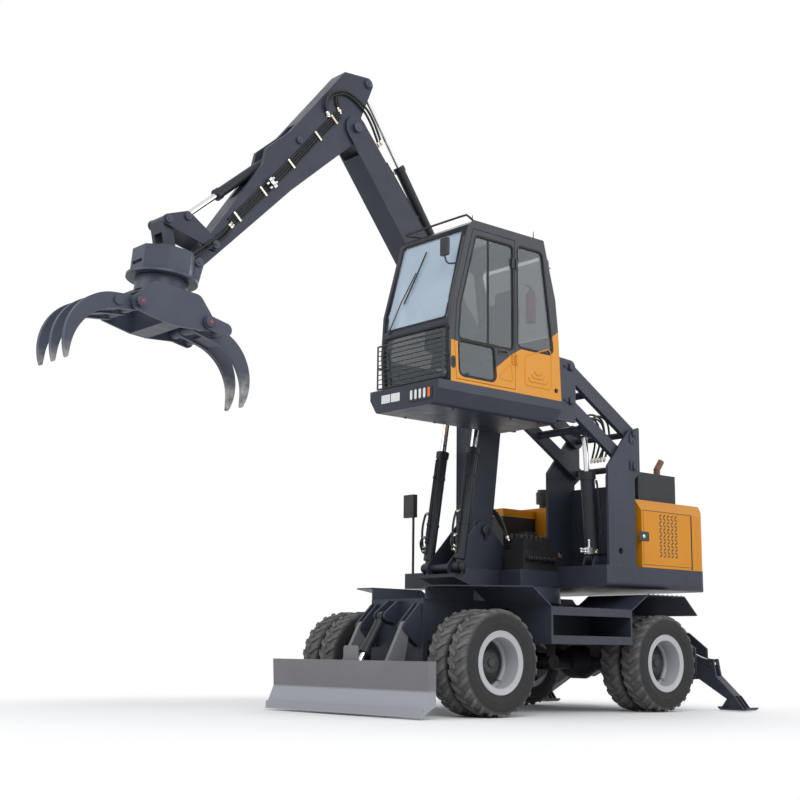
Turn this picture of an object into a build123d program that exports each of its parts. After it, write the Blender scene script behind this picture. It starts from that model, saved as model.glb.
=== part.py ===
from build123d import *
import math
import os

# Wheeled excavator with a raised cab and a log grapple.
# Millimetres. +X is forward (blade end), +Y is the machine's left (cab side), +Z is up.
# The model is laid out from the ground point midway between the axles, then moved as one
# so that its origin is the middle of its bounding box, at the ground.

# ---------------------------------------------------------------- driving dimensions
WHEELBASE = 2504
TYRE_RADIUS = 510
TYRE_WIDTH = 250
TYRE_CROWN_WIDTH = 200
RIM_BEAD_RADIUS = 261
RIM_FLANGE_RADIUS = 300
RIM_WALL = 20
RIM_WIDTH = 206
FLANGE_WIDTH = 10
TYRE_FIT = 0.5
DUAL_SPACING = 280
DUAL_CENTRE_Y = 990
HUB_RADIUS = 150
HUB_INNER = 250
CAP_RADIUS = 118
CAP_REACH = 108

KINGPIN_Y = 600
KINGPIN_RADIUS = 32
PIN_CLEARANCE = 0.5
AXLE_RADIUS = 95
DIFF_RADIUS = 185

CHASSIS_HALF = 400
CHASSIS_REAR_X = -2060
CHASSIS_FRONT_X = 1500
CHASSIS_BOTTOM_Z = 720
CHASSIS_TOP_Z = 1130
DECK_TOP_Z = 1255
DECK_PLATE = 12
DECK_OUTER_Y = 1235
STEP_FRONT_X = 545
STEP_REAR_X = -700
STEP_TOP_Z = 1062
STEP_BOTTOM_Z = 698
STEP_BAND = 82

BLADE_HALF = 1204
BLADE_PIVOT = (1680, 850)
BLADE_PIN_RADIUS = 30
BLADE_ARM_Y = 330
BLADE_ARM_WIDTH = 44
BLADE_CYLINDER_TOP = (1690, 953)
BLADE_CYLINDER_FOOT = (2030, 420)

LEG_X = -2215
LEG_WIDTH = 110
LEG_BRACKET_GAP = 200
LEG_PIVOT = (880, 480)
LEG_EYE = (1130, 505)
LEG_CYLINDER_BASE = (350, 800)
LEG_BARREL_LENGTH = 470
LEG_ROD_INSIDE = 335
SHOE_BOTTOM_Z = 12

SLEW_X = -150
RING_RADIUS = 540
RING_GAP = 5
PLATFORM_BOTTOM_Z = 1300
PLATFORM_TOP_Z = 1530
UPPER_HALF = 1115
TAIL_X = -2185
HOOD_FRONT_X = -1040
HOOD_TOP_Z = 2275
HOOD_WALL = 30
EXHAUST = (-1817, UPPER_HALF - 385)

BOOM_Y = -150
BOOM_HALF = 145
FOOT_PLATE_Y = (152, 170)
BOOM_FOOT = (270, 1904)
BOOM_TIP = (2129, 6011)
BOOM_CYLINDER_BASE = (728, 1488)
BOOM_EYE = (365, 3660)
BOOM_CYLINDER_OFFSET = 240
BOOM_BARREL_RADIUS = 60
BOOM_ROD_RADIUS = 37
BOOM_BARREL_LENGTH = 1300
BOOM_EYE_HALF = 40
ROD_SIDE_GAP = 4

ARM_ROD_PIN = (1962, 6562)
ARM_CYLINDER_BASE = (650, 4712)
ARM_BARREL_LENGTH = 1330
ARM_BARREL_RADIUS = 54
ARM_ROD_RADIUS = 27
ARM_TIP = (4003, 4164)
ARM_HALF = 115
ROCKER_PIVOT = (3819, 4375)
TILT_ROD_PIN = (4132, 4587)
LINK_TOP_PIN = (4338, 4515)
BRACKET_LINK_PIN = (4269, 4214)
TILT_CYLINDER_BASE = (2850, 5690)
TILT_ROOM = 66
TIP_PIN_RADIUS = 32
ARM_PIN_RADIUS = 38
TIP_PLATE_Y = (121, 145)
TILT_BARREL_LENGTH = 1180

ROTATOR = (4297, 3954)
ROTATOR_LEAN = 5.6
JAW_PIN = (361, -361)
JAW_TIP = (945, -1010)
GRAPPLE_HALF = 315
TINE_THICKNESS = 46
FRONT_TINES_Y = (-238, 0, 238)
REAR_TINES_Y = (-120, 120)

RISER_PIN_X = -931
RISER_PIN_LOW_Z = 2609
LINK_SPACING = 365
LINK_RUN = 1010
LINK_RISE = 597
LINK_PLATE_Y = (1020, 1075)
FAR_LINK_PLATE_Y = (255, 310)
RISER_PLATE_Y = (1085, 1115)
FAR_RISER_PLATE_Y = (215, 245)
RISER_HOLE = (-685, 1683)
RISER_HOLE_RADIUS = 35
LIFT_CYLINDER_Y = 850
LIFT_CYLINDER_BASE = (-530, 1600)
LIFT_EYE = (-430, 2945)
LIFT_BARREL_LENGTH = 850

CAB_LEFT_Y = 1190
CAB_RIGHT_Y = 175
CAB_WALL = 45
CAB_FLOOR_Z = 3166
CAB_BASE_Z = 2931
CAB_BASE_FRONT_X = 2037
DOOR_GAP = 6
DOOR_HINGE = (983, 1204)
PIN_RADIUS = 35

HALF_WHEELBASE = WHEELBASE / 2


# ---------------------------------------------------------------- shape helpers
def at_xz(y):
    return lambda a, b: Vector(a, y, b)


def at_yz(x):
    return lambda a, b: Vector(x, a, b)


def at_xy(z):
    return lambda a, b: Vector(a, b, z)


def rounded_face(circles, place):
    """Face bounded by the tangents of circles (a, b, radius) taken counter-clockwise.

    A radius of 0 is a sharp corner and a negative radius is a hollow corner.
    """
    count = len(circles)
    normals = []
    for index in range(count):
        a0, b0, r0 = circles[index]
        a1, b1, r1 = circles[(index + 1) % count]
        length = math.hypot(a1 - a0, b1 - b0)
        along_a = (a1 - a0) / length
        along_b = (b1 - b0) / length
        share = (r0 - r1) / length
        side = math.sqrt(max(0.0, 1 - share * share))
        normals.append((along_a * share + along_b * side, along_b * share - along_a * side))
    edges = []
    for index in range(count):
        a0, b0, r0 = circles[index]
        a1, b1, r1 = circles[(index + 1) % count]
        na, nb = normals[index]
        pa, pb = normals[index - 1]
        if abs(r0) > 1e-6:
            start = (a0 + r0 * pa, b0 + r0 * pb)
            end = (a0 + r0 * na, b0 + r0 * nb)
            if math.hypot(end[0] - start[0], end[1] - start[1]) > 1e-4:
                middle = math.atan2(pa * nb - pb * na, pa * na + pb * nb) / 2
                ma = pa * math.cos(middle) - pb * math.sin(middle)
                mb = pa * math.sin(middle) + pb * math.cos(middle)
                if r0 > 0 and middle < 0:
                    ma, mb = -ma, -mb
                mid = (a0 + r0 * ma, b0 + r0 * mb)
                edges.append(ThreePointArc(place(*start), place(*mid), place(*end)))
        line_start = place(a0 + r0 * na, b0 + r0 * nb)
        line_end = place(a1 + r1 * na, b1 + r1 * nb)
        if (line_end - line_start).length > 1e-4:
            edges.append(Line(line_start, line_end))
    return make_face(edges)


def plate_y(circles, y_low, y_high):
    """Plate standing in an XZ plane, between two y values."""
    return extrude(rounded_face(circles, at_xz(y_low)), y_high - y_low, dir=(0, 1, 0))


def plate_x(circles, x_low, x_high):
    """Plate standing in a YZ plane, between two x values."""
    return extrude(rounded_face(circles, at_yz(x_low)), x_high - x_low, dir=(1, 0, 0))


def plate_z(circles, z_low, z_high):
    """Flat plate in an XY plane, between two z values."""
    return extrude(rounded_face(circles, at_xy(z_low)), z_high - z_low, dir=(0, 0, 1))


def block(x_low, x_high, y_low, y_high, z_low, z_high):
    solid = Box(x_high - x_low, y_high - y_low, z_high - z_low, align=(Align.MIN,) * 3)
    return Pos(x_low, y_low, z_low) * solid


def rod_between(start, end, radius):
    start = Vector(*start)
    end = Vector(*end)
    solid = Cylinder(radius, (end - start).length, align=(Align.CENTER, Align.CENTER, Align.MIN))
    return Plane(origin=start, z_dir=end - start) * solid


def pin_y(x, z, radius, y_low, y_high):
    return rod_between((x, y_low, z), (x, y_high, z), radius)


def pin_x(y, z, radius, x_low, x_high):
    return rod_between((x_low, y, z), (x_high, y, z), radius)


def pin_heads_y(x, z, radius, y_middle, inner, outer):
    """Ends of a pin that show outside a pair of lugs, with the space between the lugs left free."""
    left = pin_y(x, z, radius, y_middle + inner, y_middle + outer)
    right = pin_y(x, z, radius, y_middle - outer, y_middle - inner)
    return left, right


def along(start, end, distance):
    """Point of an XZ or YZ line, a distance from its start."""
    length = math.hypot(end[0] - start[0], end[1] - start[1])
    share = distance / length
    return (start[0] + (end[0] - start[0]) * share, start[1] + (end[1] - start[1]) * share)


def mirror_y(solid):
    return mirror(solid, about=Plane.XZ)


def one(*solids):
    """Everything joined into one shape."""
    result = solids[0]
    for solid in solids[1:]:
        result = result + solid
    return result


def barrel_y(base, eye, y, radius, length, eye_radius, eye_half):
    """Cylinder barrel in the XZ plane at one y: rear eye, tube and gland ring."""
    start = along(base, eye, eye_radius * 1.5)
    end = along(base, eye, length)
    gland = along(base, eye, length - radius * 1.1)
    neck = rod_between((base[0], y, base[1]), (start[0], y, start[1]), eye_half * 0.8)
    tube = rod_between((start[0], y, start[1]), (end[0], y, end[1]), radius)
    ring = rod_between((gland[0], y, gland[1]), (end[0], y, end[1]), radius * 1.18)
    eye_ring = pin_y(base[0], base[1], eye_radius, y - eye_half, y + eye_half)
    return one(neck, tube, ring, eye_ring)


def barrel_bore(base, eye, y, rod_radius, length, inside):
    """Bore that the rod runs in, from the gland down to `inside` past the rod's end."""
    start = along(base, eye, inside)
    end = along(base, eye, length + 1)
    return rod_between((start[0], y, start[1]), (end[0], y, end[1]), rod_radius + PIN_CLEARANCE)


def rod_y(base, eye, y, radius, inside, eye_radius, eye_half):
    """Piston rod in the XZ plane at one y, with its eye."""
    start = along(base, eye, inside)
    tube = rod_between((start[0], y, start[1]), (eye[0], y, eye[1]), radius)
    eye_ring = pin_y(eye[0], eye[1], eye_radius, y - eye_half, y + eye_half)
    return one(tube, eye_ring)


# ---------------------------------------------------------------- wheels
def turned(profile, side):
    """Profile of (radius, outboard) points turned about a wheel axis on one side."""
    points = [(radius, 0, outboard) for radius, outboard in profile]
    face = make_face(Polyline(*points, close=True))
    solid = revolve(face, Axis.Z)
    return Rot(-90 * side, 0, 0) * solid


def tyre(side, centre):
    bead = RIM_BEAD_RADIUS + TYRE_FIT
    bead_half = RIM_WIDTH / 2 - FLANGE_WIDTH - TYRE_FIT
    half = TYRE_WIDTH / 2
    crown = TYRE_CROWN_WIDTH / 2
    # columns: radius, half width
    side_profile = [
        (bead, bead_half),
        (RIM_FLANGE_RADIUS + 2, bead_half),
        (RIM_FLANGE_RADIUS + 42, half - 6),
        (RIM_FLANGE_RADIUS + 105, half),
        (TYRE_RADIUS - 38, half - 8),
        (TYRE_RADIUS, crown),
    ]
    profile = [(radius, centre - width) for radius, width in side_profile]
    profile += [(radius, centre + width) for radius, width in reversed(side_profile)]
    return turned(profile, side)


def rim(side, centre, disc_from, disc_to):
    half = RIM_WIDTH / 2
    inner = RIM_BEAD_RADIUS - RIM_WALL
    sign = 1 if centre > 0 else -1
    # columns: radius, distance outboard of the disc side
    profile = [
        (HUB_RADIUS - 10, sign * disc_from),
        (RIM_BEAD_RADIUS, sign * disc_from),
        (RIM_BEAD_RADIUS, centre + sign * (half - FLANGE_WIDTH)),
        (RIM_FLANGE_RADIUS, centre + sign * (half - FLANGE_WIDTH)),
        (RIM_FLANGE_RADIUS, centre + sign * half),
        (inner, centre + sign * (half - 4)),
        (inner, sign * (disc_to + 40)),
        (inner - 30, sign * disc_to),
        (HUB_RADIUS - 10, sign * disc_to),
    ]
    ring = [
        (RIM_BEAD_RADIUS - 5, centre - sign * half),
        (RIM_FLANGE_RADIUS, centre - sign * half),
        (RIM_FLANGE_RADIUS, centre - sign * (half - FLANGE_WIDTH)),
        (RIM_BEAD_RADIUS - 5, centre - sign * (half - FLANGE_WIDTH)),
    ]
    return one(turned(profile, side), turned(ring, side))


def dual_rims(side):
    """Two dished rims back to back on one hub."""
    outer = rim(side, DUAL_SPACING / 2, 8, 24)
    inner = rim(side, -DUAL_SPACING / 2, 8, 24)
    hub_profile = [
        (0, -HUB_INNER),
        (HUB_RADIUS, -HUB_INNER),
        (HUB_RADIUS, 62),
        (CAP_RADIUS + 12, 74),
        (CAP_RADIUS, CAP_REACH - 14),
        (CAP_RADIUS - 22, CAP_REACH),
        (0, CAP_REACH),
    ]
    return one(outer, inner, turned(hub_profile, side))


def wheel_place(axle_x, side):
    return Pos(axle_x, side * DUAL_CENTRE_Y, TYRE_RADIUS)


def make_wheels(nodes):
    # columns: name, axle x, side
    for name, axle_x, side in (
        ("front_left", HALF_WHEELBASE, 1),
        ("front_right", HALF_WHEELBASE, -1),
        ("rear_left", -HALF_WHEELBASE, 1),
        ("rear_right", -HALF_WHEELBASE, -1),
    ):
        place = wheel_place(axle_x, side)
        outer = tyre(side, DUAL_SPACING / 2)
        inner = tyre(side, -DUAL_SPACING / 2)
        nodes["tyres_" + name] = place * (outer + inner)
        nodes["rims_" + name] = place * dual_rims(side)


# ---------------------------------------------------------------- axles and steering
def diff_housing():
    """Bulging differential housing, turned about the axle."""
    profile = [
        (0, -260), (AXLE_RADIUS + 5, -260), (DIFF_RADIUS, -90), (DIFF_RADIUS, 90),
        (AXLE_RADIUS + 5, 260), (0, 260),
    ]
    return turned(profile, 1)


def make_front_axle():
    x = HALF_WHEELBASE
    z = TYRE_RADIUS
    beam = rod_between((x, -KINGPIN_Y + 75, z), (x, KINGPIN_Y - 75, z), AXLE_RADIUS)
    housing = Pos(x, 0, z) * diff_housing()
    pedestal = block(x - 130, x + 130, -150, 150, z + 100, CHASSIS_BOTTOM_Z)
    nose = rod_between((x - 330, 0, z), (x, 0, z), 80)
    parts = [beam, housing, pedestal, nose]
    for side in (1, -1):
        boss = Pos(x, side * KINGPIN_Y, z) * Cylinder(70, 230)
        neck = rod_between((x, side * (KINGPIN_Y - 90), z), (x, side * KINGPIN_Y, z), AXLE_RADIUS - 10)
        parts += [boss, neck]
    axle = one(*parts)
    for side in (1, -1):
        axle = axle - Pos(x, side * KINGPIN_Y, z) * Cylinder(KINGPIN_RADIUS + PIN_CLEARANCE, 400)
    return axle


def make_knuckle(side):
    """Forked knuckle round the end of the axle beam, with the spindle drum behind the hub."""
    x = HALF_WHEELBASE
    z = TYRE_RADIUS
    wheel_side = DUAL_CENTRE_Y - HUB_INNER - RING_GAP
    drum_inner = KINGPIN_Y + 108
    drum = rod_between((x, side * drum_inner, z), (x, side * wheel_side, z), 195)
    parts = [drum]
    for up in (1, -1):
        ear_low = 122
        ear_high = 172
        outline = [
            (x, KINGPIN_Y, 62),
            (x + 60, wheel_side, 0),
            (x - 60, wheel_side, 0),
        ]
        ear = plate_z(outline, z + min(up * ear_low, up * ear_high),
                      z + max(up * ear_low, up * ear_high))
        if side < 0:
            ear = mirror_y(ear)
        parts.append(ear)
    pin = Pos(x, side * KINGPIN_Y, z) * Cylinder(KINGPIN_RADIUS, 2 * 172)
    return one(*parts, pin)


def make_rear_axle():
    x = -HALF_WHEELBASE
    z = TYRE_RADIUS
    reach = DUAL_CENTRE_Y - HUB_INNER - RING_GAP
    beam = rod_between((x, -reach, z), (x, reach, z), AXLE_RADIUS)
    drums = [rod_between((x, side * (reach - 120), z), (x, side * reach, z), 180) for side in (1, -1)]
    housing = Pos(x, 0, z) * diff_housing()
    nose = rod_between((x, 0, z), (x + 420, 0, z), 80)
    saddles = [block(x - 110, x + 110, side * 330 - 70, side * 330 + 70, z + 60, CHASSIS_BOTTOM_Z)
               for side in (1, -1)]
    return one(beam, housing, nose, *drums, *saddles)


# ---------------------------------------------------------------- chassis
def make_chassis():
    body = block(CHASSIS_REAR_X, CHASSIS_FRONT_X, -CHASSIS_HALF, CHASSIS_HALF,
                 CHASSIS_BOTTOM_Z, CHASSIS_TOP_Z)
    nose = block(CHASSIS_FRONT_X - 60, CHASSIS_FRONT_X, -CHASSIS_HALF, CHASSIS_HALF, 440, CHASSIS_BOTTOM_Z)
    ring = Pos(SLEW_X, 0, CHASSIS_TOP_Z) * Cylinder(
        RING_RADIUS, PLATFORM_BOTTOM_Z - RING_GAP - CHASSIS_TOP_Z,
        align=(Align.CENTER, Align.CENTER, Align.MIN))
    parts = [body, nose, ring]
    half_arm = BLADE_ARM_WIDTH / 2
    lug_gap = half_arm + 6
    for side in (1, -1):
        for inner in (-lug_gap - 20, lug_gap):
            low = side * BLADE_ARM_Y + inner
            outline = [
                (CHASSIS_FRONT_X - 10, 640, 0),
                (CHASSIS_FRONT_X + 90, 700, 0),
                (BLADE_PIVOT[0], BLADE_PIVOT[1], 55),
                (CHASSIS_FRONT_X + 30, 1080, 0),
                (CHASSIS_FRONT_X - 10, 1080, 0),
            ]
            parts.append(plate_y(outline, low, low + 20))
        # pin of the push arm
        reach = lug_gap + 26
        parts.append(pin_y(*BLADE_PIVOT, BLADE_PIN_RADIUS, side * BLADE_ARM_Y - reach,
                           side * BLADE_ARM_Y + reach))
    for low in (-84, 64):
        outline = [
            (CHASSIS_FRONT_X - 10, 860, 0),
            (BLADE_CYLINDER_TOP[0], BLADE_CYLINDER_TOP[1], 48),
            (CHASSIS_FRONT_X + 60, 1110, 0),
            (CHASSIS_FRONT_X - 10, 1110, 0),
        ]
        parts.append(plate_y(outline, low, low + 20))
    parts.append(pin_y(*BLADE_CYLINDER_TOP, 26, -88, 88))
    # rear cross box and the outrigger plates that carry the stabilizer legs
    half = LEG_BRACKET_GAP / 2
    parts.append(block(LEG_X - half, CHASSIS_REAR_X + 10, -285, 285, 560, 900))
    outline = [(200, 560, 0), (700, 330, 0), (960, 330, 0), (995, 391, 0), (985, 674, 0), (740, 850, 0),
               (560, 900, 0), (200, 900, 0)]
    for side in (1, -1):
        pieces = [plate_x(outline, low, low + 20) for low in (LEG_X - half - 20, LEG_X + half)]
        cover = [(280, 886, 0), (560, 886, 0), (738, 836, 0), (740, 850, 0), (560, 900, 0), (280, 900, 0)]
        pieces.append(plate_x(cover, LEG_X - half - 4, LEG_X + half + 4))
        floor = [(280, 530, 0), (700, 337, 0), (760, 330, 0), (760, 344, 0), (704, 351, 0), (280, 546, 0)]
        pieces.append(plate_x(floor, LEG_X - half - 4, LEG_X + half + 4))
        for a, b, radius in ((*LEG_CYLINDER_BASE, 26), (*LEG_PIVOT, 28)):
            pieces.append(pin_x(a, b, radius, LEG_X - half - 34, LEG_X + half + 34))
        parts += pieces if side > 0 else [mirror_y(piece) for piece in pieces]
    return one(*parts)


def make_deck(side):
    """Fender, walkway and step frame of one side, with its two end slopes."""
    inner = CHASSIS_HALF + 1
    top = DECK_TOP_Z
    plate = DECK_PLATE
    # front cover over the wheel: hexagonal in plan, sloping down to the walkway
    front = plate_z([(808, inner, 0), (1490, inner, 0), (1490, 660, 0), (808, DECK_OUTER_Y, 0)],
                    top - plate, top)
    slope = plate_y([(STEP_FRONT_X - 20, STEP_TOP_Z - plate, 0), (808, top - plate, 0),
                     (808, top, 0), (STEP_FRONT_X - 20, STEP_TOP_Z, 0)], inner, DECK_OUTER_Y)
    walk = block(STEP_REAR_X, STEP_FRONT_X - 10, inner, DECK_OUTER_Y, STEP_TOP_Z - plate, STEP_TOP_Z)
    step = block(STEP_REAR_X, STEP_FRONT_X, inner + 250, DECK_OUTER_Y, STEP_BOTTOM_Z, STEP_BOTTOM_Z + plate)
    wall = block(STEP_REAR_X, STEP_FRONT_X - 20, inner + 250, inner + 262, STEP_BOTTOM_Z, STEP_TOP_Z)
    bands = [
        block(STEP_REAR_X, STEP_FRONT_X, DECK_OUTER_Y - 12, DECK_OUTER_Y,
              STEP_TOP_Z - STEP_BAND, STEP_TOP_Z),
        block(STEP_REAR_X, STEP_FRONT_X, DECK_OUTER_Y - 12, DECK_OUTER_Y,
              STEP_BOTTOM_Z, STEP_BOTTOM_Z + STEP_BAND),
        block(STEP_FRONT_X - 25, STEP_FRONT_X, inner + 250, DECK_OUTER_Y, STEP_BOTTOM_Z, STEP_TOP_Z),
        block(STEP_REAR_X, STEP_REAR_X + 25, inner + 250, DECK_OUTER_Y, STEP_BOTTOM_Z, STEP_TOP_Z),
    ]
    # rear fender: two slopes and a flat
    rear_top = 1232
    rear = plate_y([
        (-1815, 1025, 0),
        (-1600, rear_top - plate, 0),
        (-975, rear_top - plate, 0),
        (STEP_REAR_X, STEP_TOP_Z - plate, 0),
        (STEP_REAR_X, STEP_TOP_Z, 0),
        (-969, rear_top, 0),
        (-1604, rear_top, 0),
        (-1824, 1034, 0),
    ], inner, DECK_OUTER_Y)
    web = plate_y([(-1600, 1100, 0), (-980, 1100, 0), (-980, rear_top, 0), (-1600, rear_top, 0)],
                  inner, inner + 20)
    front_web = plate_y([(830, 1120, 0), (1480, 1120, 0), (1480, top, 0), (830, top, 0)],
                        inner, inner + 20)
    deck = one(front, slope, walk, step, wall, *bands, rear, web, front_web)
    return deck if side > 0 else mirror_y(deck)


# ---------------------------------------------------------------- blade
def make_blade():
    board_back = [
        (2225, 20, 0),
        (2240, 20, 0),
        (2140, 250, 0),
        (2155, 520, 0),
        (2105, 520, 0),
        (2085, 250, 0),
    ]
    board = plate_y(board_back, -BLADE_HALF, BLADE_HALF)
    parts = [board]
    for side in (1, -1):
        end = [(2060, 120, 0), (2235, 20, 0), (2140, 250, 0), (2150, 520, 0), (2060, 520, 0)]
        y_face = side * (BLADE_HALF - 16)
        parts.append(plate_y(end, min(y_face, side * BLADE_HALF), max(y_face, side * BLADE_HALF)))
        half = BLADE_ARM_WIDTH / 2
        arm = [
            (BLADE_PIVOT[0], BLADE_PIVOT[1], 52),
            (1860, 330, 120),
            (2120, 120, 0),
            (2110, 330, 0),
            (2300, 690, -420),
        ]
        outline = plate_y(arm, side * BLADE_ARM_Y - half, side * BLADE_ARM_Y + half)
        bore = pin_y(*BLADE_PIVOT, BLADE_PIN_RADIUS + PIN_CLEARANCE, -BLADE_HALF, BLADE_HALF)
        parts.append(outline - bore)
    for low in (-60, 40):
        lug = [(BLADE_CYLINDER_FOOT[0], BLADE_CYLINDER_FOOT[1], 48), (2110, 300, 0), (2120, 480, 0)]
        parts.append(plate_y(lug, low, low + 20))
    parts += pin_heads_y(*BLADE_CYLINDER_FOOT, 32, 0, 42, 66)
    return one(*parts)


def make_blade_cylinder():
    base = BLADE_CYLINDER_TOP
    eye = BLADE_CYLINDER_FOOT
    barrel = barrel_y(base, eye, 0, 48, 430, 44, 36)
    barrel = barrel - barrel_bore(base, eye, 0, 26, 430, 60)
    barrel = barrel - pin_y(*base, 26 + PIN_CLEARANCE, -100, 100)
    rod = rod_y(base, eye, 0, 26, 180, 44, 34)
    return barrel, rod


# ---------------------------------------------------------------- stabilizers
def make_leg():
    """Left stabilizer: box beam between two cheeks, clevis for the cylinder and a gusseted shoe."""
    half = LEG_WIDTH / 2
    pivot = LEG_PIVOT
    cheek = [(pivot[0], pivot[1], 76), (1354, 126, 0), (1447, 166, 0), (1214, 374, 0), (1199, 440, 0),
             (1168, 550, 12), (1100, 556, 0), (960, 586, 0)]
    beam = [(pivot[0], pivot[1], 72), (1354, 127, 0), (1446, 167, 0), (1214, 373, 0), (1160, 432, 0),
            (1080, 466, 0)]
    parts = []
    for low in (LEG_X - half, LEG_X + half - 20):
        parts.append(plate_x(cheek, low, low + 20))
    for low in (LEG_X - half - 8, LEG_X + half - 1):
        parts.append(plate_x(beam, low, low + 9))
    # lower and upper webs between the cheeks
    lower = [(940, 372, 0), (960, 352, 0), (1358, 124, 0), (1440, 164, 0), (1420, 186, 0), (1352, 150, 0)]
    upper = [(1196, 360, 0), (1420, 158, 0), (1447, 166, 0), (1214, 374, 0)]
    for web in (lower, upper):
        parts.append(plate_x(web, LEG_X - half, LEG_X + half))
    base = SHOE_BOTTOM_Z
    shoe = [(1262, base + 22, 0), (1292, base, 0), (1606, base, 0), (1640, base + 18, 0), (1640, base + 34, 0),
            (1600, base + 18, 0), (1296, base + 18, 0), (1262, base + 38, 0)]
    parts.append(plate_x(shoe, LEG_X - 107, LEG_X + 107))
    gusset = [(1272, base + 14, 0), (1572, base + 14, 0), (1462, 158, 0), (1447, 170, 0), (1354, 130, 0)]
    for low in (LEG_X - half - 14, LEG_X - 8, LEG_X + half):
        parts.append(plate_x(gusset, low, low + 14))
    for low in (LEG_X - half - 14, LEG_X + half - 2):
        parts.append(pin_x(*LEG_EYE, 24, low, low + 16))
    leg = one(*parts)
    return leg - pin_x(*pivot, 28 + PIN_CLEARANCE, LEG_X - 400, LEG_X + 400)


def make_leg_cylinder():
    """Stabilizer cylinder of the left leg: barrel and rod in the YZ plane."""
    base = LEG_CYLINDER_BASE
    eye = LEG_EYE
    length = LEG_BARREL_LENGTH
    start = (LEG_X, *along(base, eye, 60))
    end = (LEG_X, *along(base, eye, length))
    barrel = one(
        rod_between((LEG_X, *base), start, 40),
        rod_between(start, end, 48),
        rod_between((LEG_X, *along(base, eye, length - 52)), end, 57),
        pin_x(*base, 46, LEG_X - 36, LEG_X + 36),
    )
    barrel = barrel - rod_between(start, (LEG_X, *along(base, eye, length + 20)), 28 + PIN_CLEARANCE)
    barrel = barrel - pin_x(*base, 26 + PIN_CLEARANCE, LEG_X - 100, LEG_X + 100)
    rod = one(
        rod_between((LEG_X, *along(base, eye, LEG_ROD_INSIDE)), (LEG_X, *eye), 28),
        pin_x(*eye, 40, LEG_X - 32, LEG_X + 32),
    )
    return barrel, rod


# ---------------------------------------------------------------- upper structure
def make_platform():
    low = PLATFORM_BOTTOM_Z
    high = PLATFORM_TOP_Z
    rear = plate_z([(-450, -UPPER_HALF, 0), (-450, UPPER_HALF, 0), (TAIL_X + 110, UPPER_HALF - 110, 110),
                    (TAIL_X + 110, -UPPER_HALF + 110, 110)], low, high)
    # the lower edges of the tail band are rounded
    edge = 60
    section = [(-UPPER_HALF + edge, low + edge, edge), (UPPER_HALF - edge, low + edge, edge),
               (UPPER_HALF, high, 0), (-UPPER_HALF, high, 0)]
    rear = rear & plate_x(section, TAIL_X, 0)
    foot_x = BOOM_CYLINDER_BASE[0]
    front = plate_y([(-450, low, 0), (foot_x - 170, low, 0), (foot_x + 80, low + 80, 0),
                     (foot_x + 80, high - 115, 0), (foot_x - 78, high - 115, 0), (foot_x - 92, high - 50, 0),
                     (-450, high - 50, 0)], -440, 100)
    right = block(-450, 420, -UPPER_HALF, -430, low, high - 60)
    parts = [rear, front, right]
    for side in (1, -1):
        y_near = side * FOOT_PLATE_Y[0]
        y_far = side * FOOT_PLATE_Y[1]
        outline = [(-260, 1400, 0), (foot_x + 60, 1400, 0), (foot_x + 38, BOOM_CYLINDER_BASE[1], 52),
                   (BOOM_FOOT[0] + 20, BOOM_FOOT[1], 110), (-200, 1500, 40)]
        parts.append(plate_y(outline, BOOM_Y + min(y_near, y_far), BOOM_Y + max(y_near, y_far)))
    cheek = FOOT_PLATE_Y[1]
    parts.append(pin_y(*BOOM_FOOT, 45, BOOM_Y - cheek - 22, BOOM_Y + cheek + 22))
    reach = BOOM_CYLINDER_OFFSET + 52
    parts.append(pin_y(*BOOM_CYLINDER_BASE, 40, BOOM_Y - reach, BOOM_Y + reach))
    # lugs of the cab lift cylinder
    for low_y in (LIFT_CYLINDER_Y - 78, LIFT_CYLINDER_Y + 54):
        outline = [(LIFT_CYLINDER_BASE[0] - 90, high - 5, 0), (LIFT_CYLINDER_BASE[0] + 80, high - 5, 0),
                   (LIFT_CYLINDER_BASE[0], LIFT_CYLINDER_BASE[1], 50)]
        parts.append(plate_y(outline, low_y, low_y + 24))
    parts.append(pin_y(*LIFT_CYLINDER_BASE, 32, LIFT_CYLINDER_Y - 84, LIFT_CYLINDER_Y + 84))
    return one(*parts)


def make_riser():
    parts = []
    for low, high in (RISER_PLATE_Y, FAR_RISER_PLATE_Y):
        outline = [(-940, PLATFORM_TOP_Z, 0), (-495, PLATFORM_TOP_Z, 0), (-495, 2584, 0),
                   (-850, 3000, 0), (-1010, 3030, 20), (-1010, 2560, 20), (-940, 2480, 0)]
        hole = pin_y(*RISER_HOLE, RISER_HOLE_RADIUS, low - 1, high + 1)
        parts.append(plate_y(outline, low, high) - hole)
    parts.append(block(-940, -900, FAR_RISER_PLATE_Y[0], RISER_PLATE_Y[1], PLATFORM_TOP_Z, 2420))
    for z in (RISER_PIN_LOW_Z, RISER_PIN_LOW_Z + LINK_SPACING):
        parts.append(pin_y(RISER_PIN_X, z, PIN_RADIUS, FAR_RISER_PLATE_Y[0] - 14, RISER_PLATE_Y[1] + 14))
    return one(*parts)


def make_hood():
    """Engine hood: a shell open below, chamfered along its upper edges."""
    def body(inset, low):
        half = UPPER_HALF - inset
        top = HOOD_TOP_Z - inset
        section = [(-half, low, 0), (half, low, 0), (half, top - 130, 0), (half - 95, top, 0),
                   (-half + 95, top, 0), (-half, top - 130, 0)]
        return plate_x(section, TAIL_X + inset, HOOD_FRONT_X - inset)
    plan = plate_z([(HOOD_FRONT_X, -UPPER_HALF, 0), (HOOD_FRONT_X, UPPER_HALF, 0),
                    (TAIL_X + 120, UPPER_HALF - 120, 120), (TAIL_X + 120, -UPPER_HALF + 120, 120)],
                   PLATFORM_TOP_Z, HOOD_TOP_Z + 10)
    return (body(0, PLATFORM_TOP_Z + 1) & plan) - body(HOOD_WALL, PLATFORM_TOP_Z - 10)


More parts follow.
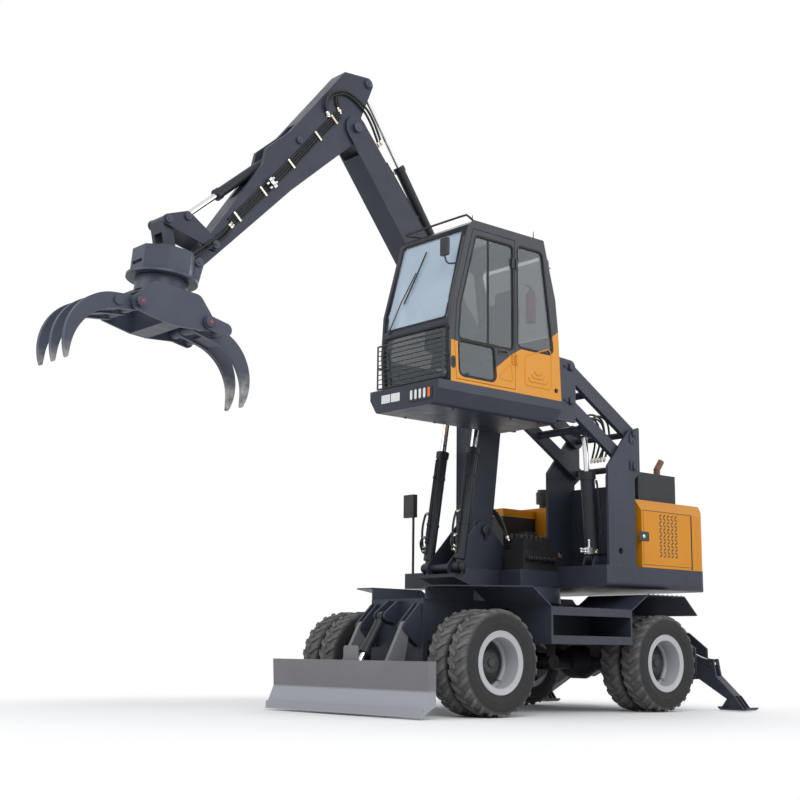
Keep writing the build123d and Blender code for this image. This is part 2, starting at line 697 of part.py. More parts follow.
def make_right_bay():
    return block(HOOD_FRONT_X + 5, -500, -UPPER_HALF, 655 - UPPER_HALF, PLATFORM_TOP_Z + 1, 2240)


def make_engine():
    return block(-1900, -1250, -420, 420, PLATFORM_TOP_Z + 1, 2120)


def make_silencer():
    box = block(-1860, -1200, 480, UPPER_HALF - 165, HOOD_TOP_Z + 1, 2600)
    x = EXHAUST[0]
    y = EXHAUST[1]
    pipe = one(
        rod_between((x, y, 2590), (x, y, 2700), 38),
        rod_between((x, y, 2700), (x - 80, y, 2800), 38),
        Pos(x, y, 2700) * Sphere(38),
    )
    return one(box, pipe)


def make_precleaner():
    x = -1330
    y = 515 - UPPER_HALF
    return one(
        rod_between((x, y, HOOD_TOP_Z + 1), (x, y, 2360), 50),
        rod_between((x, y, 2360), (x, y, 2500), 86),
        rod_between((x, y, 2500), (x, y, 2530), 70),
    )


def make_right_mirror():
    x = 330
    y = 35 - UPPER_HALF
    pole = rod_between((x, y, PLATFORM_TOP_Z - 60), (x, y, 2330), 14)
    housing = Pos(x + 30, y - 20, 2240) * Box(60, 170, 260)
    return one(pole, housing)


# ---------------------------------------------------------------- cab lift
def link_pins():
    low_riser = (RISER_PIN_X, RISER_PIN_LOW_Z)
    low_cab = (RISER_PIN_X + LINK_RUN, RISER_PIN_LOW_Z + LINK_RISE)
    high_riser = (RISER_PIN_X, RISER_PIN_LOW_Z + LINK_SPACING)
    high_cab = (RISER_PIN_X + LINK_RUN, RISER_PIN_LOW_Z + LINK_SPACING + LINK_RISE)
    return low_riser, low_cab, high_riser, high_cab


def make_link(start, end, start_radius, end_radius, cross):
    parts = []
    for low, high in (LINK_PLATE_Y, FAR_LINK_PLATE_Y):
        outline = [(start[0], start[1], start_radius), (end[0], end[1], end_radius)]
        parts.append(plate_y(outline, low, high))
    for share, radius in cross:
        x = start[0] + (end[0] - start[0]) * share
        z = start[1] + (end[1] - start[1]) * share
        parts.append(pin_y(x, z, radius, FAR_LINK_PLATE_Y[0] + 5, LINK_PLATE_Y[1] - 5))
    link = one(*parts)
    for pin in (start, end):
        link = link - pin_y(*pin, PIN_RADIUS + PIN_CLEARANCE, 0, 1300)
    return link


def make_links():
    low_riser, low_cab, high_riser, high_cab = link_pins()
    lower = make_link(low_riser, low_cab, 72, 66, ((0.62, 42),))
    for low in (LIFT_CYLINDER_Y - 74, LIFT_CYLINDER_Y + 50):
        mid = (low_riser[0] + LINK_RUN * 0.62, low_riser[1] + LINK_RISE * 0.62)
        lug = [(mid[0], mid[1], 52), (LIFT_EYE[0], LIFT_EYE[1], 48)]
        lower = lower + plate_y(lug, low, low + 24)
    for head in pin_heads_y(*LIFT_EYE, 32, LIFT_CYLINDER_Y, 52, 80):
        lower = lower + head
    upper = make_link(high_riser, high_cab, 80, 80, ((0.62, 40),))
    return lower, upper


def make_lift_cylinder():
    base = LIFT_CYLINDER_BASE
    eye = LIFT_EYE
    y = LIFT_CYLINDER_Y
    length = LIFT_BARREL_LENGTH + 90
    barrel = barrel_y(base, eye, y, 78, length, 60, 46)
    barrel = barrel - barrel_bore(base, eye, y, 31, length, 120)
    barrel = barrel - pin_y(*base, 32 + PIN_CLEARANCE, 0, 1300)
    rod = rod_y(base, eye, y, 31, 720, 46, 44)
    return barrel, rod


# ---------------------------------------------------------------- cab
CAB_OUTLINE = [
    (311, CAB_FLOOR_Z, 0),
    (1880, CAB_FLOOR_Z, 0),
    (1903, 3560, 0),
    (1878, 3958, 0),
    (1650, 4780, 0),
    (1560, 4840, 0),
    (560, 4840, 0),
    (388, 4230, 0),
    (350, 3894, 0),
]
CAB_INNER = [
    (360, CAB_FLOOR_Z + 40, 0),
    (1830, CAB_FLOOR_Z + 40, 0),
    (1852, 3560, 0),
    (1828, 3950, 0),
    (1606, 4750, 0),
    (1550, 4785, 0),
    (600, 4785, 0),
    (435, 4225, 0),
    (398, 3894, 0),
]
DOOR_OUTLINE = [
    (995, 3200, 0),
    (1800, 3200, 0),
    (1826, 3560, 0),
    (1800, 3950, 0),
    (1580, 4745, 0),
    (995, 4745, 0),
]
DOOR_WINDOW = [
    (1060, 3640, 40),
    (1730, 3640, 40),
    (1705, 3940, 40),
    (1510, 4640, 40),
    (1060, 4640, 40),
]
REAR_WINDOW = [
    (500, 3700, 60),
    (890, 3700, 60),
    (890, 4640, 60),
    (640, 4640, 60),
]


def grown(outline, amount):
    """Outline pushed outwards by an amount, for cuts that clear a piece."""
    face = rounded_face(outline, at_xy(0))
    return offset(face, amount=amount, kind=Kind.INTERSECTION)


def cut_y(outline, amount, y_low, y_high):
    """Prism of a grown XZ outline between two y values."""
    cutter = extrude(grown([(a, b, r) for a, b, r in outline], amount), y_high - y_low)
    return Pos(0, y_high, 0) * (Rot(90, 0, 0) * cutter)


def make_cab_shell():
    outer = plate_y(CAB_OUTLINE, CAB_RIGHT_Y, CAB_LEFT_Y)
    inner = plate_y(CAB_INNER, CAB_RIGHT_Y + CAB_WALL, CAB_LEFT_Y - CAB_WALL)
    shell = outer - inner
    shell = shell - cut_y(DOOR_OUTLINE, DOOR_GAP, CAB_LEFT_Y - CAB_WALL - 10, CAB_LEFT_Y + 10)
    shell = shell - plate_y(REAR_WINDOW, CAB_LEFT_Y - CAB_WALL - 10, CAB_LEFT_Y + 10)
    right_window = [(500, 3560, 60), (1740, 3560, 60), (1560, 4640, 60), (640, 4640, 60)]
    shell = shell - plate_y(right_window, CAB_RIGHT_Y - 10, CAB_RIGHT_Y + CAB_WALL + 10)
    windscreen = plate_x([(CAB_RIGHT_Y + 75, 3640, 50), (CAB_LEFT_Y - 75, 3640, 50),
                          (CAB_LEFT_Y - 105, 4700, 50), (CAB_RIGHT_Y + 105, 4700, 50)], 1590, 2000)
    lower_front = plate_x([(CAB_RIGHT_Y + 75, 3240, 40), (CAB_LEFT_Y - 75, 3240, 40),
                           (CAB_LEFT_Y - 75, 3560, 40), (CAB_RIGHT_Y + 75, 3560, 40)], 1700, 2000)
    rear_glass = plate_x([(CAB_RIGHT_Y + 110, 3900, 50), (CAB_LEFT_Y - 110, 3900, 50),
                          (CAB_LEFT_Y - 110, 4640, 50), (CAB_RIGHT_Y + 110, 4640, 50)], 200, 700)
    hatch = block(900, 1450, CAB_RIGHT_Y + 200, CAB_LEFT_Y - 200, 4700, 4900)
    shell = shell - windscreen - lower_front - rear_glass - hatch
    return shell


def make_cab_base():
    """Skirt under the cab floor and the brackets that the lift links hold."""
    mid = (CAB_RIGHT_Y + CAB_LEFT_Y) / 2
    half_top = (CAB_LEFT_Y - CAB_RIGHT_Y) / 2
    half_low = half_top - 70
    section = [(mid - half_low + 60, CAB_BASE_Z + 60, 60), (mid + half_low - 60, CAB_BASE_Z + 60, 60),
               (mid + half_top, CAB_FLOOR_Z - 90, 0), (mid + half_top, CAB_FLOOR_Z - 1, 0),
               (mid - half_top, CAB_FLOOR_Z - 1, 0), (mid - half_top, CAB_FLOOR_Z - 90, 0)]
    skirt = plate_x(section, 311, CAB_BASE_FRONT_X)
    low_cab = link_pins()[1]
    high_cab = link_pins()[3]
    parts = [skirt]
    for low, high in (RISER_PLATE_Y, FAR_RISER_PLATE_Y):
        outline = [(10, 2985, 0), (400, 2985, 0), (400, 3160, 0), (306, 3160, 0), (306, 3660, 0),
                   (high_cab[0], high_cab[1], 75), (0, 3500, 0)]
        parts.append(plate_y(outline, low, high))
    for pin in (low_cab, high_cab):
        parts.append(pin_y(*pin, PIN_RADIUS, FAR_RISER_PLATE_Y[0] - 14, RISER_PLATE_Y[1] + 14))
    parts.append(block(190, 330, FAR_RISER_PLATE_Y[0], RISER_PLATE_Y[1], 2985, 3110))
    return one(*parts)


def make_seat():
    mid = (CAB_RIGHT_Y + CAB_LEFT_Y) / 2
    base = block(780, 1130, mid - 200, mid + 200, CAB_FLOOR_Z + 41, 3560)
    cushion = block(720, 1240, mid - 240, mid + 240, 3560, 3680)
    back = plate_y([(650, 3640, 0), (800, 3640, 0), (700, 4260, 0), (590, 4260, 0)], mid - 230, mid + 230)
    return one(base, cushion, back)


def make_window_guard():
    """Barred guard over the lower front window."""
    x = 1960
    low = CAB_RIGHT_Y + 20
    high = CAB_LEFT_Y - 20
    bars = [rod_between((x, low, z), (x, high, z), 9) for z in (3200, 3640)]
    bars += [rod_between((x, y, 3200), (x, y, 3640), 9) for y in (low, high)]
    count = 9
    for index in range(1, count):
        z = 3200 + 440 * index / count
        bars.append(rod_between((x, low, z), (x, high, z), 5))
    for y in (low, high):
        bars.append(rod_between((1896, y, 3420), (x, y, 3420), 9))
    return one(*bars)


def make_door():
    y_in = CAB_LEFT_Y - CAB_WALL
    door = plate_y(DOOR_OUTLINE, y_in, CAB_LEFT_Y)
    lower_window = [(1330, 3300, 60), (1700, 3300, 60), (1730, 3540, 40), (1330, 3540, 40)]
    door = door - plate_y(DOOR_WINDOW, y_in - 5, CAB_LEFT_Y + 5)
    door = door - plate_y(lower_window, y_in - 5, CAB_LEFT_Y + 5)
    for z in (3500, 4500):
        door = door + block(DOOR_HINGE[0], 1040, CAB_LEFT_Y + 1, CAB_LEFT_Y + 10, z - 50, z + 50)
        door = door + block(1000, 1040, CAB_LEFT_Y - 2, CAB_LEFT_Y + 2, z - 50, z + 50)
        door = door + (Pos(DOOR_HINGE[0], DOOR_HINGE[1], z) * Cylinder(13, 100))
    return door


# ---------------------------------------------------------------- boom
def make_boom():
    y_low = BOOM_Y - BOOM_HALF
    y_high = BOOM_Y + BOOM_HALF
    outline = [
        (BOOM_FOOT[0], BOOM_FOOT[1], 130),
        (1097, 3340, -700),
        (BOOM_TIP[0], BOOM_TIP[1], 133),
        (440, 3500, 500),
    ]
    body = plate_y(outline, y_low, y_high)
    # fork at the tip round the arm's boss
    fork = plate_y([(BOOM_TIP[0] - 260, BOOM_TIP[1] - 340, 0), (BOOM_TIP[0] + 300, BOOM_TIP[1] - 180, 0),
                    (BOOM_TIP[0] + 300, BOOM_TIP[1] + 300, 0), (BOOM_TIP[0] - 260, BOOM_TIP[1] + 300, 0)],
                   BOOM_Y - ARM_HALF - 8, BOOM_Y + ARM_HALF + 8)
    body = body - fork
    for low in (BOOM_Y - 102, BOOM_Y + 82):
        lug = [(ARM_CYLINDER_BASE[0], ARM_CYLINDER_BASE[1], 70), (560, 4250, 0), (1060, 4860, 0)]
        body = body + plate_y(lug, low, low + 20)
    body = body + pin_y(*ARM_CYLINDER_BASE, ARM_PIN_RADIUS, BOOM_Y - 106, BOOM_Y + 106)
    reach = BOOM_CYLINDER_OFFSET - BOOM_EYE_HALF - ROD_SIDE_GAP
    body = body + pin_y(*BOOM_EYE, 56, BOOM_Y - reach, BOOM_Y + reach)
    body = body + pin_y(*BOOM_TIP, 45, y_low - 25, y_high + 25)
    body = body - pin_y(*BOOM_FOOT, 45 + PIN_CLEARANCE, -600, 600)
    return body


def make_boom_cylinders():
    barrels = []
    rods = []
    for side in (1, -1):
        y = BOOM_Y + side * BOOM_CYLINDER_OFFSET
        barrel = barrel_y(BOOM_CYLINDER_BASE, BOOM_EYE, y, BOOM_BARREL_RADIUS, BOOM_BARREL_LENGTH, 56, 44)
        barrel = barrel - barrel_bore(BOOM_CYLINDER_BASE, BOOM_EYE, y, BOOM_ROD_RADIUS,
                                      BOOM_BARREL_LENGTH, 90)
        barrel = barrel - pin_y(*BOOM_CYLINDER_BASE, 40 + PIN_CLEARANCE, -700, 700)
        rod = rod_y(BOOM_CYLINDER_BASE, BOOM_EYE, y, BOOM_ROD_RADIUS, 700, 58, BOOM_EYE_HALF)
        outer = BOOM_Y + side * (BOOM_CYLINDER_OFFSET + BOOM_EYE_HALF + 16)
        rods.append(rod + pin_y(*BOOM_EYE, 40, min(y, outer), max(y, outer)))
        barrels.append(barrel)
    return barrels[0] + barrels[1], rods[0] + rods[1]


# ---------------------------------------------------------------- arm
def oriented_cut(start, end, back, ahead, below, above, half):
    """Slab along an XZ line, for the room of a cylinder between two cheeks."""
    length = math.hypot(end[0] - start[0], end[1] - start[1])
    ua = (end[0] - start[0]) / length
    ub = (end[1] - start[1]) / length
    corners = []
    for step, drop in ((-back, below), (ahead, below), (ahead, -above), (-back, -above)):
        corners.append((start[0] + ua * step + ub * drop, start[1] + ub * step - ua * drop, 0))
    return plate_y(corners, BOOM_Y - half, BOOM_Y + half)


def make_arm():
    y_low = BOOM_Y - ARM_HALF
    y_high = BOOM_Y + ARM_HALF
    outline = [
        (ARM_TIP[0], ARM_TIP[1], 62),
        (3283, 5334, 0),
        (3241, 5512, 0),
        (2978, 5741, 0),
        (2275, 6608, 0),
        (ARM_ROD_PIN[0], ARM_ROD_PIN[1], 70),
        (2060, 6126, 0),
        (BOOM_TIP[0], BOOM_TIP[1], 120),
        (2300, 5700, 0),
        (2934, 5139, 0),
    ]
    body = plate_y(outline, y_low, y_high)
    body = body - oriented_cut(TILT_CYLINDER_BASE, TILT_ROD_PIN, 110, 1300, 112, 700, TILT_ROOM)
    body = body - pin_y(*ARM_ROD_PIN, 165, BOOM_Y - 50, BOOM_Y + 50)
    body = body - oriented_cut(ARM_ROD_PIN, (1600, 6120), 0, 400, 95, 95, 50)
    for head in pin_heads_y(*ARM_ROD_PIN, 52, BOOM_Y, ARM_HALF - 2, ARM_HALF + 15):
        body = body + head
    body = body + pin_y(*TILT_CYLINDER_BASE, 32, y_low - 12, y_high + 12)
    body = body - pin_y(*BOOM_TIP, 45 + PIN_CLEARANCE, -400, 100)
    body = body - pin_y(*ARM_TIP, TIP_PIN_RADIUS + PIN_CLEARANCE, -400, 100)
    body = body - pin_y(*ROCKER_PIVOT, TIP_PIN_RADIUS + PIN_CLEARANCE, -400, 100)
    return body


def make_arm_cylinder():
    barrel = barrel_y(ARM_CYLINDER_BASE, ARM_ROD_PIN, BOOM_Y, ARM_BARREL_RADIUS, ARM_BARREL_LENGTH, 60, 46)
    barrel = barrel - barrel_bore(ARM_CYLINDER_BASE, ARM_ROD_PIN, BOOM_Y, ARM_ROD_RADIUS,
                                  ARM_BARREL_LENGTH, 100)
    barrel = barrel - pin_y(*ARM_CYLINDER_BASE, ARM_PIN_RADIUS + PIN_CLEARANCE, -400, 100)
    rod = rod_y(ARM_CYLINDER_BASE, ARM_ROD_PIN, BOOM_Y, ARM_ROD_RADIUS, 700, 62, 44)
    return barrel, rod


# ---------------------------------------------------------------- grapple linkage
def make_tilt_cylinder():
    base = TILT_CYLINDER_BASE
    eye = TILT_ROD_PIN
    barrel = barrel_y(base, eye, BOOM_Y, 50, TILT_BARREL_LENGTH, 48, 40)
    barrel = barrel - barrel_bore(base, eye, BOOM_Y, 31, TILT_BARREL_LENGTH, 80)
    barrel = barrel - pin_y(*base, 32 + PIN_CLEARANCE, -400, 100)
    rod = rod_y(base, eye, BOOM_Y, 31, 600, 48, 40)
    reach = TIP_PLATE_Y[0] - ROD_SIDE_GAP
    rod = rod + pin_y(*eye, TIP_PIN_RADIUS, BOOM_Y - reach, BOOM_Y + reach)
    return barrel, rod


def make_rocker():
    parts = []
    for side in (1, -1):
        low = BOOM_Y + min(side * TIP_PLATE_Y[0], side * TIP_PLATE_Y[1])
        outline = [(*ROCKER_PIVOT, 55), (*LINK_TOP_PIN, 52), (*TILT_ROD_PIN, 52)]
        parts.append(plate_y(outline, low, low + TIP_PLATE_Y[1] - TIP_PLATE_Y[0]))
    reach = TIP_PLATE_Y[1] + 12
    for pin in (ROCKER_PIVOT, LINK_TOP_PIN):
        parts.append(pin_y(*pin, TIP_PIN_RADIUS, BOOM_Y - reach, BOOM_Y + reach))
    parts += pin_heads_y(*TILT_ROD_PIN, TIP_PIN_RADIUS, BOOM_Y, TIP_PLATE_Y[0] + 4, reach)
    return one(*parts)


def make_tilt_link():
    half = TIP_PLATE_Y[0] - 7
    link = plate_y([(*LINK_TOP_PIN, 48), (*BRACKET_LINK_PIN, 48)], BOOM_Y - half, BOOM_Y + half)
    middle = ((LINK_TOP_PIN[0] + BRACKET_LINK_PIN[0]) / 2, (LINK_TOP_PIN[1] + BRACKET_LINK_PIN[1]) / 2)
    link = link - pin_y(*middle, 70, BOOM_Y - 66, BOOM_Y + 66)
    return link - pin_y(*LINK_TOP_PIN, TIP_PIN_RADIUS + PIN_CLEARANCE, -400, 100)


# ---------------------------------------------------------------- grapple
# Laid out in its own upright frame: origin on the rotator axis at the flange's lower face,
# X across the jaws, Z up the axis. grapple_place leans it into the machine.
def grapple_place():
    return Pos(ROTATOR[0], BOOM_Y, ROTATOR[1]) * Rot(0, -ROTATOR_LEAN, 0)


def in_grapple(point):
    """A machine XZ point in the grapple's upright frame."""
    lean = math.radians(ROTATOR_LEAN)
    dx = point[0] - ROTATOR[0]
    dz = point[1] - ROTATOR[1]
    return (dx * math.cos(lean) + dz * math.sin(lean), -dx * math.sin(lean) + dz * math.cos(lean))


def make_bracket():
    """Octagonal rotator housing hung from the arm's tip by two cheeks."""
    top = 265
    octagon = Rot(0, 0, 22.5) * extrude(RegularPolygon(302, 8), top - 24)
    core = Rot(0, 0, 22.5) * extrude(RegularPolygon(280, 8), top)
    can = Pos(0, 0, 24) * octagon - Pos(0, 0, 40) * core
    can = can - block(-400, -40, -TIP_PLATE_Y[1], TIP_PLATE_Y[1], 60, top + 10)
    can = can - block(200, 400, -85, 85, 95, 130)
    flange = Cylinder(335, 24, align=(Align.CENTER, Align.CENTER, Align.MIN))
    parts = [can, flange]
    arm_tip = in_grapple(ARM_TIP)
    link_pin = in_grapple(BRACKET_LINK_PIN)
    for side in (1, -1):
        low = min(side * TIP_PLATE_Y[0], side * TIP_PLATE_Y[1])
        outline = [(-300, 12, 0), (150, 12, 0), (150, 150, 0), (*link_pin, 55), (*arm_tip, 64)]
        parts.append(plate_y(outline, low, low + TIP_PLATE_Y[1] - TIP_PLATE_Y[0]))
    reach = TIP_PLATE_Y[1] + 12
    parts.append(pin_y(*arm_tip, TIP_PIN_RADIUS, -reach, reach))
    parts += pin_heads_y(*link_pin, TIP_PIN_RADIUS, 0, TIP_PLATE_Y[0] + 4, reach)
    return grapple_place() * one(*parts)


def make_grapple_body():
    turntable = rod_between((0, 0, -140), (0, 0, -RING_GAP), 245)
    pin_x_place, pin_z = JAW_PIN
    outline = [(-pin_x_place, pin_z, 74), (-90, -476, 0), (90, -476, 0), (pin_x_place, pin_z, 74),
               (200, -226, 100), (-200, -226, 100)]
    parts = [turntable]
    for low in (-GRAPPLE_HALF, GRAPPLE_HALF - 26):
        parts.append(plate_y(outline, low, low + 26))
    parts.append(block(-230, 230, -GRAPPLE_HALF + 5, GRAPPLE_HALF - 5, -160, -128))
    parts.append(block(-88, 88, -GRAPPLE_HALF + 5, GRAPPLE_HALF - 5, -475, -455))
    parts.append(block(-90, -66, -GRAPPLE_HALF + 5, GRAPPLE_HALF - 5, -475, -140))
    parts.append(block(66, 90, -GRAPPLE_HALF + 5, GRAPPLE_HALF - 5, -475, -140))
    for side in (1, -1):
        parts.append(pin_y(side * pin_x_place, pin_z, 30, -GRAPPLE_HALF - 36, GRAPPLE_HALF + 36))
    return grapple_place() * one(*parts)


def make_jaw(side, tines_y, cheeks_outside):
    """Curved tines on one pivot tube; side 1 is the front jaw and -1 the rear one."""
    pin = (side * JAW_PIN[0], JAW_PIN[1])
    outline = [
        (JAW_PIN[0], JAW_PIN[1], 66),
        (450, -930, -478),
        (JAW_TIP[0], JAW_TIP[1] + 12, 12),
        (520, -800, 480),
    ]
    parts = []
    for y in tines_y:
        tine = plate_y(outline, y - TINE_THICKNESS / 2, y + TINE_THICKNESS / 2)
        if side < 0:
            tine = mirror(tine, about=Plane.YZ)
        parts.append(tine)
    inner = GRAPPLE_HALF - 26 - 8
    parts.append(pin_y(*pin, 58, -inner, inner))
    tube_reach = inner
    if cheeks_outside:
        tube_reach = GRAPPLE_HALF + 6 + 24
        for low in (-GRAPPLE_HALF - 6 - 24, GRAPPLE_HALF + 6):
            cheek = plate_y([(JAW_PIN[0], JAW_PIN[1], 62), (545, -385, 60)], low, low + 24)
            if side < 0:
                cheek = mirror(cheek, about=Plane.YZ)
            parts.append(cheek)
    parts.append(pin_y(side * 545, -385, 44, -tube_reach, tube_reach))
    web = plate_y([(470, -425, 0), (640, -470, 0), (640, -440, 0), (470, -395, 0)],
                  min(tines_y), max(tines_y))
    if side < 0:
        web = mirror(web, about=Plane.YZ)
    parts.append(web)
    jaw = one(*parts) - pin_y(*pin, 30 + PIN_CLEARANCE, -500, 500)
    return grapple_place() * jaw


# ---------------------------------------------------------------- the whole machine
def make_nodes():
    nodes = {}
    make_wheels(nodes)
    nodes["front_axle"] = make_front_axle()
    nodes["rear_axle"] = make_rear_axle()
    nodes["knuckle_left"] = make_knuckle(1)
    nodes["knuckle_right"] = make_knuckle(-1)
    nodes["chassis_frame"] = make_chassis()
    nodes["deck_left"] = make_deck(1)
    nodes["deck_right"] = make_deck(-1)
    nodes["blade"] = make_blade()
    nodes["blade_barrel"], nodes["blade_rod"] = make_blade_cylinder()
    leg = make_leg()
    leg_barrel, leg_rod = make_leg_cylinder()
    nodes["stabilizer_left"] = leg
    nodes["stabilizer_barrel_left"] = leg_barrel
    nodes["stabilizer_rod_left"] = leg_rod
    nodes["stabilizer_right"] = mirror_y(leg)
    nodes["stabilizer_barrel_right"] = mirror_y(leg_barrel)
    nodes["stabilizer_rod_right"] = mirror_y(leg_rod)
    nodes["platform"] = make_platform()
    nodes["cab_riser"] = make_riser()
    nodes["engine_hood"] = make_hood()
    nodes["right_bay"] = make_right_bay()
    nodes["engine"] = make_engine()
    nodes["silencer"] = make_silencer()
    nodes["air_precleaner"] = make_precleaner()
    nodes["right_mirror"] = make_right_mirror()
    nodes["lift_link_lower"], nodes["lift_link_upper"] = make_links()
    nodes["lift_barrel"], nodes["lift_rod"] = make_lift_cylinder()
    nodes["cab_shell"] = make_cab_shell()
    nodes["cab_base"] = make_cab_base()
    nodes["cab_seat"] = make_seat()
    nodes["window_guard"] = make_window_guard()
    nodes["cab_door"] = make_door()
    nodes["boom"] = make_boom()
    nodes["boom_barrels"], nodes["boom_rods"] = make_boom_cylinders()
    nodes["arm"] = make_arm()
    nodes["arm_barrel"], nodes["arm_rod"] = make_arm_cylinder()
    nodes["tilt_barrel"], nodes["tilt_rod"] = make_tilt_cylinder()
    nodes["tilt_rocker"] = make_rocker()
    nodes["tilt_link"] = make_tilt_link()
    nodes["grapple_bracket"] = make_bracket()
    nodes["grapple_body"] = make_grapple_body()
    nodes["jaw_front"] = make_jaw(1, FRONT_TINES_Y, False)
    nodes["jaw_rear"] = make_jaw(-1, REAR_TINES_Y, True)
    return nodes


def bounds_of(nodes):
    boxes = [solid.bounding_box() for solid in nodes.values()]
    low = [min(getattr(box.min, axis) for box in boxes) for axis in ("X", "Y", "Z")]
    high = [max(getattr(box.max, axis) for box in boxes) for axis in ("X", "Y", "Z")]
    return low, high


def main():
    os.makedirs("parts", exist_ok=True)
    nodes = make_nodes()
    low, high = bounds_of(nodes)
    shift = Pos(-(low[0] + high[0]) / 2, -(low[1] + high[1]) / 2, -low[2])
    for name, solid in nodes.items():
        export_step(shift * solid, "parts/" + name + ".step")


if __name__ == "__main__":
    main()
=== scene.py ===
import math

import bmesh
import bpy
from mathutils import Matrix, Vector


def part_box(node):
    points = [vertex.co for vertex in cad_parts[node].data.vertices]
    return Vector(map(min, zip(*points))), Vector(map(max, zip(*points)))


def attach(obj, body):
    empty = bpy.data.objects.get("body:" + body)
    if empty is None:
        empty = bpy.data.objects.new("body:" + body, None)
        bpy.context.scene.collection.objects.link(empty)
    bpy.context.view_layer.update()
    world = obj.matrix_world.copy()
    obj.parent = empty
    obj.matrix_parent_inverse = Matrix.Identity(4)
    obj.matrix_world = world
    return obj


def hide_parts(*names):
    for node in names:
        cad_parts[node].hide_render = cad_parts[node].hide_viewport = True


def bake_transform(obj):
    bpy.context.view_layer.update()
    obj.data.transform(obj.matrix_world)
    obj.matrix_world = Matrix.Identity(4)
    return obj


# Wheeled excavator with a raised cab and a log grapple, dressed over its CAD frame.
# Sizes are in millimetres in the machine's layout: the origin is on the ground midway
# between the axles, +X is forward, +Y is the left side and +Z is up. Materials use metres.

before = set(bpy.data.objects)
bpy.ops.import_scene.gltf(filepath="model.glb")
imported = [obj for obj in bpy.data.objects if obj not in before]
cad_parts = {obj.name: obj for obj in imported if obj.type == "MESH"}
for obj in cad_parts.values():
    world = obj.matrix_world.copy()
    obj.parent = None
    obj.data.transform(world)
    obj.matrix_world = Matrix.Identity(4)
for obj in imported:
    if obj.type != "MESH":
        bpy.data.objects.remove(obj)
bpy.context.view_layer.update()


# ---------------------------------------------------------------- places
def middle_x(node):
    low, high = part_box(node)
    return (low.x + high.x) / 2


SHIFT_X = (middle_x("rims_front_left") + middle_x("rims_rear_left")) / 2
HALF_WHEELBASE = 1252
TYRE_RADIUS = 510
TREAD_RADIUS = 489
DUAL_CENTRE_Y = 990
DUAL_OFFSET = 140
TYRE_HALF = 125
LUG_COUNT = 26
BOOM_Y = -150
# pivots: X, Z
BOOM_FOOT = (270, 1904)
BOOM_TIP = (2129, 6011)
CYLINDER_FOOT = (728, 1488)
ROTATOR = (4297, 3954)
ROTATOR_LEAN = math.radians(5.6)


def at(x, y, z):
    """A layout point in millimetres as a scene point in metres."""
    return Vector((x / 1000 + SHIFT_X, y / 1000, z / 1000))


# ---------------------------------------------------------------- shader nodes
def feed(tree, node, inputs):
    """Links inputs of a node to sockets, or sets their values."""
    for name, value in inputs.items():
        if isinstance(value, bpy.types.NodeSocket):
            tree.links.new(value, node.inputs[name])
        else:
            node.inputs[name].default_value = value


def put(tree, kind, inputs=None, **settings):
    """New shader node, with what goes into it and its own settings."""
    node = tree.nodes.new("ShaderNode" + kind)
    for name, value in settings.items():
        setattr(node, name, value)
    feed(tree, node, inputs or {})
    return node


def maths(tree, kind, *values):
    return put(tree, "Math", dict(enumerate(values)), operation=kind).outputs[0]


def times(tree, a, b):
    return maths(tree, "MULTIPLY", a, b)


def add_to(tree, a, b):
    return maths(tree, "ADD", a, b)


def ramp(tree, source, low, high, start=0.0, end=1.0):
    return put(tree, "MapRange", {"Value": source, "From Min": low, "From Max": high,
                                  "To Min": start, "To Max": end}).outputs["Result"]


def own_place(tree):
    return put(tree, "TexCoord").outputs["Object"]


def noise_of(tree, scale, detail=4.0, roughness=0.6):
    """Noise over the part's own coordinates, so that it stays on the part."""
    return put(tree, "TexNoise", {"Vector": own_place(tree), "Scale": scale, "Detail": detail,
                                  "Roughness": roughness}).outputs["Fac"]


def layout_axes(tree):
    """The point in layout metres: X, Y and Z sockets."""
    split = put(tree, "SeparateXYZ", {0: own_place(tree)}).outputs
    return add_to(tree, split["X"], -SHIFT_X), split["Y"], split["Z"]


def mixed(tree, factor, first, second):
    """Colour mix: each side is an RGB tuple or a socket."""
    node = put(tree, "Mix", {"Factor": factor}, data_type="RGBA")
    for name, value in (("A", first), ("B", second)):
        socket = [entry for entry in node.inputs if entry.name == name and entry.type == "RGBA"][0]
        if isinstance(value, tuple):
            socket.default_value = (*value, 1)
        else:
            tree.links.new(value, socket)
    return [entry for entry in node.outputs if entry.type == "RGBA"][0]


def new_material(name):
    material = bpy.data.materials.new(name)
    material.use_nodes = True
    return material, material.node_tree, material.node_tree.nodes["Principled BSDF"]


# ---------------------------------------------------------------- camera, light and floor
CAMERA_PLACE = (10446.7, 10338.1, 618.0)
CAMERA_YAW = math.radians(229.0907)
CAMERA_PITCH = math.radians(10.6274)
CAMERA_ROLL = math.radians(0.6315)
CAMERA_LENS = 60.012
WHITE = (1, 1, 1, 1)
FLOOR_REACH = 60


def make_camera():
    data = bpy.data.cameras.new("camera")
    data.sensor_width = 36
    data.lens = CAMERA_LENS
    data.clip_end = 200
    camera = bpy.data.objects.new("camera", data)
    bpy.context.scene.collection.objects.link(camera)
    flat = math.cos(CAMERA_PITCH)
    ahead = Vector((flat * math.cos(CAMERA_YAW), flat * math.sin(CAMERA_YAW), math.sin(CAMERA_PITCH)))
    right = Vector((math.sin(CAMERA_YAW), -math.cos(CAMERA_YAW), 0))
    up = right.cross(ahead)
    rolled_right = math.cos(CAMERA_ROLL) * right + math.sin(CAMERA_ROLL) * up
    rolled_up = math.cos(CAMERA_ROLL) * up - math.sin(CAMERA_ROLL) * right
    matrix = Matrix((rolled_right, rolled_up, -ahead)).transposed().to_4x4()
    matrix.translation = at(*CAMERA_PLACE)
    camera.matrix_world = matrix
    bpy.context.scene.camera = camera


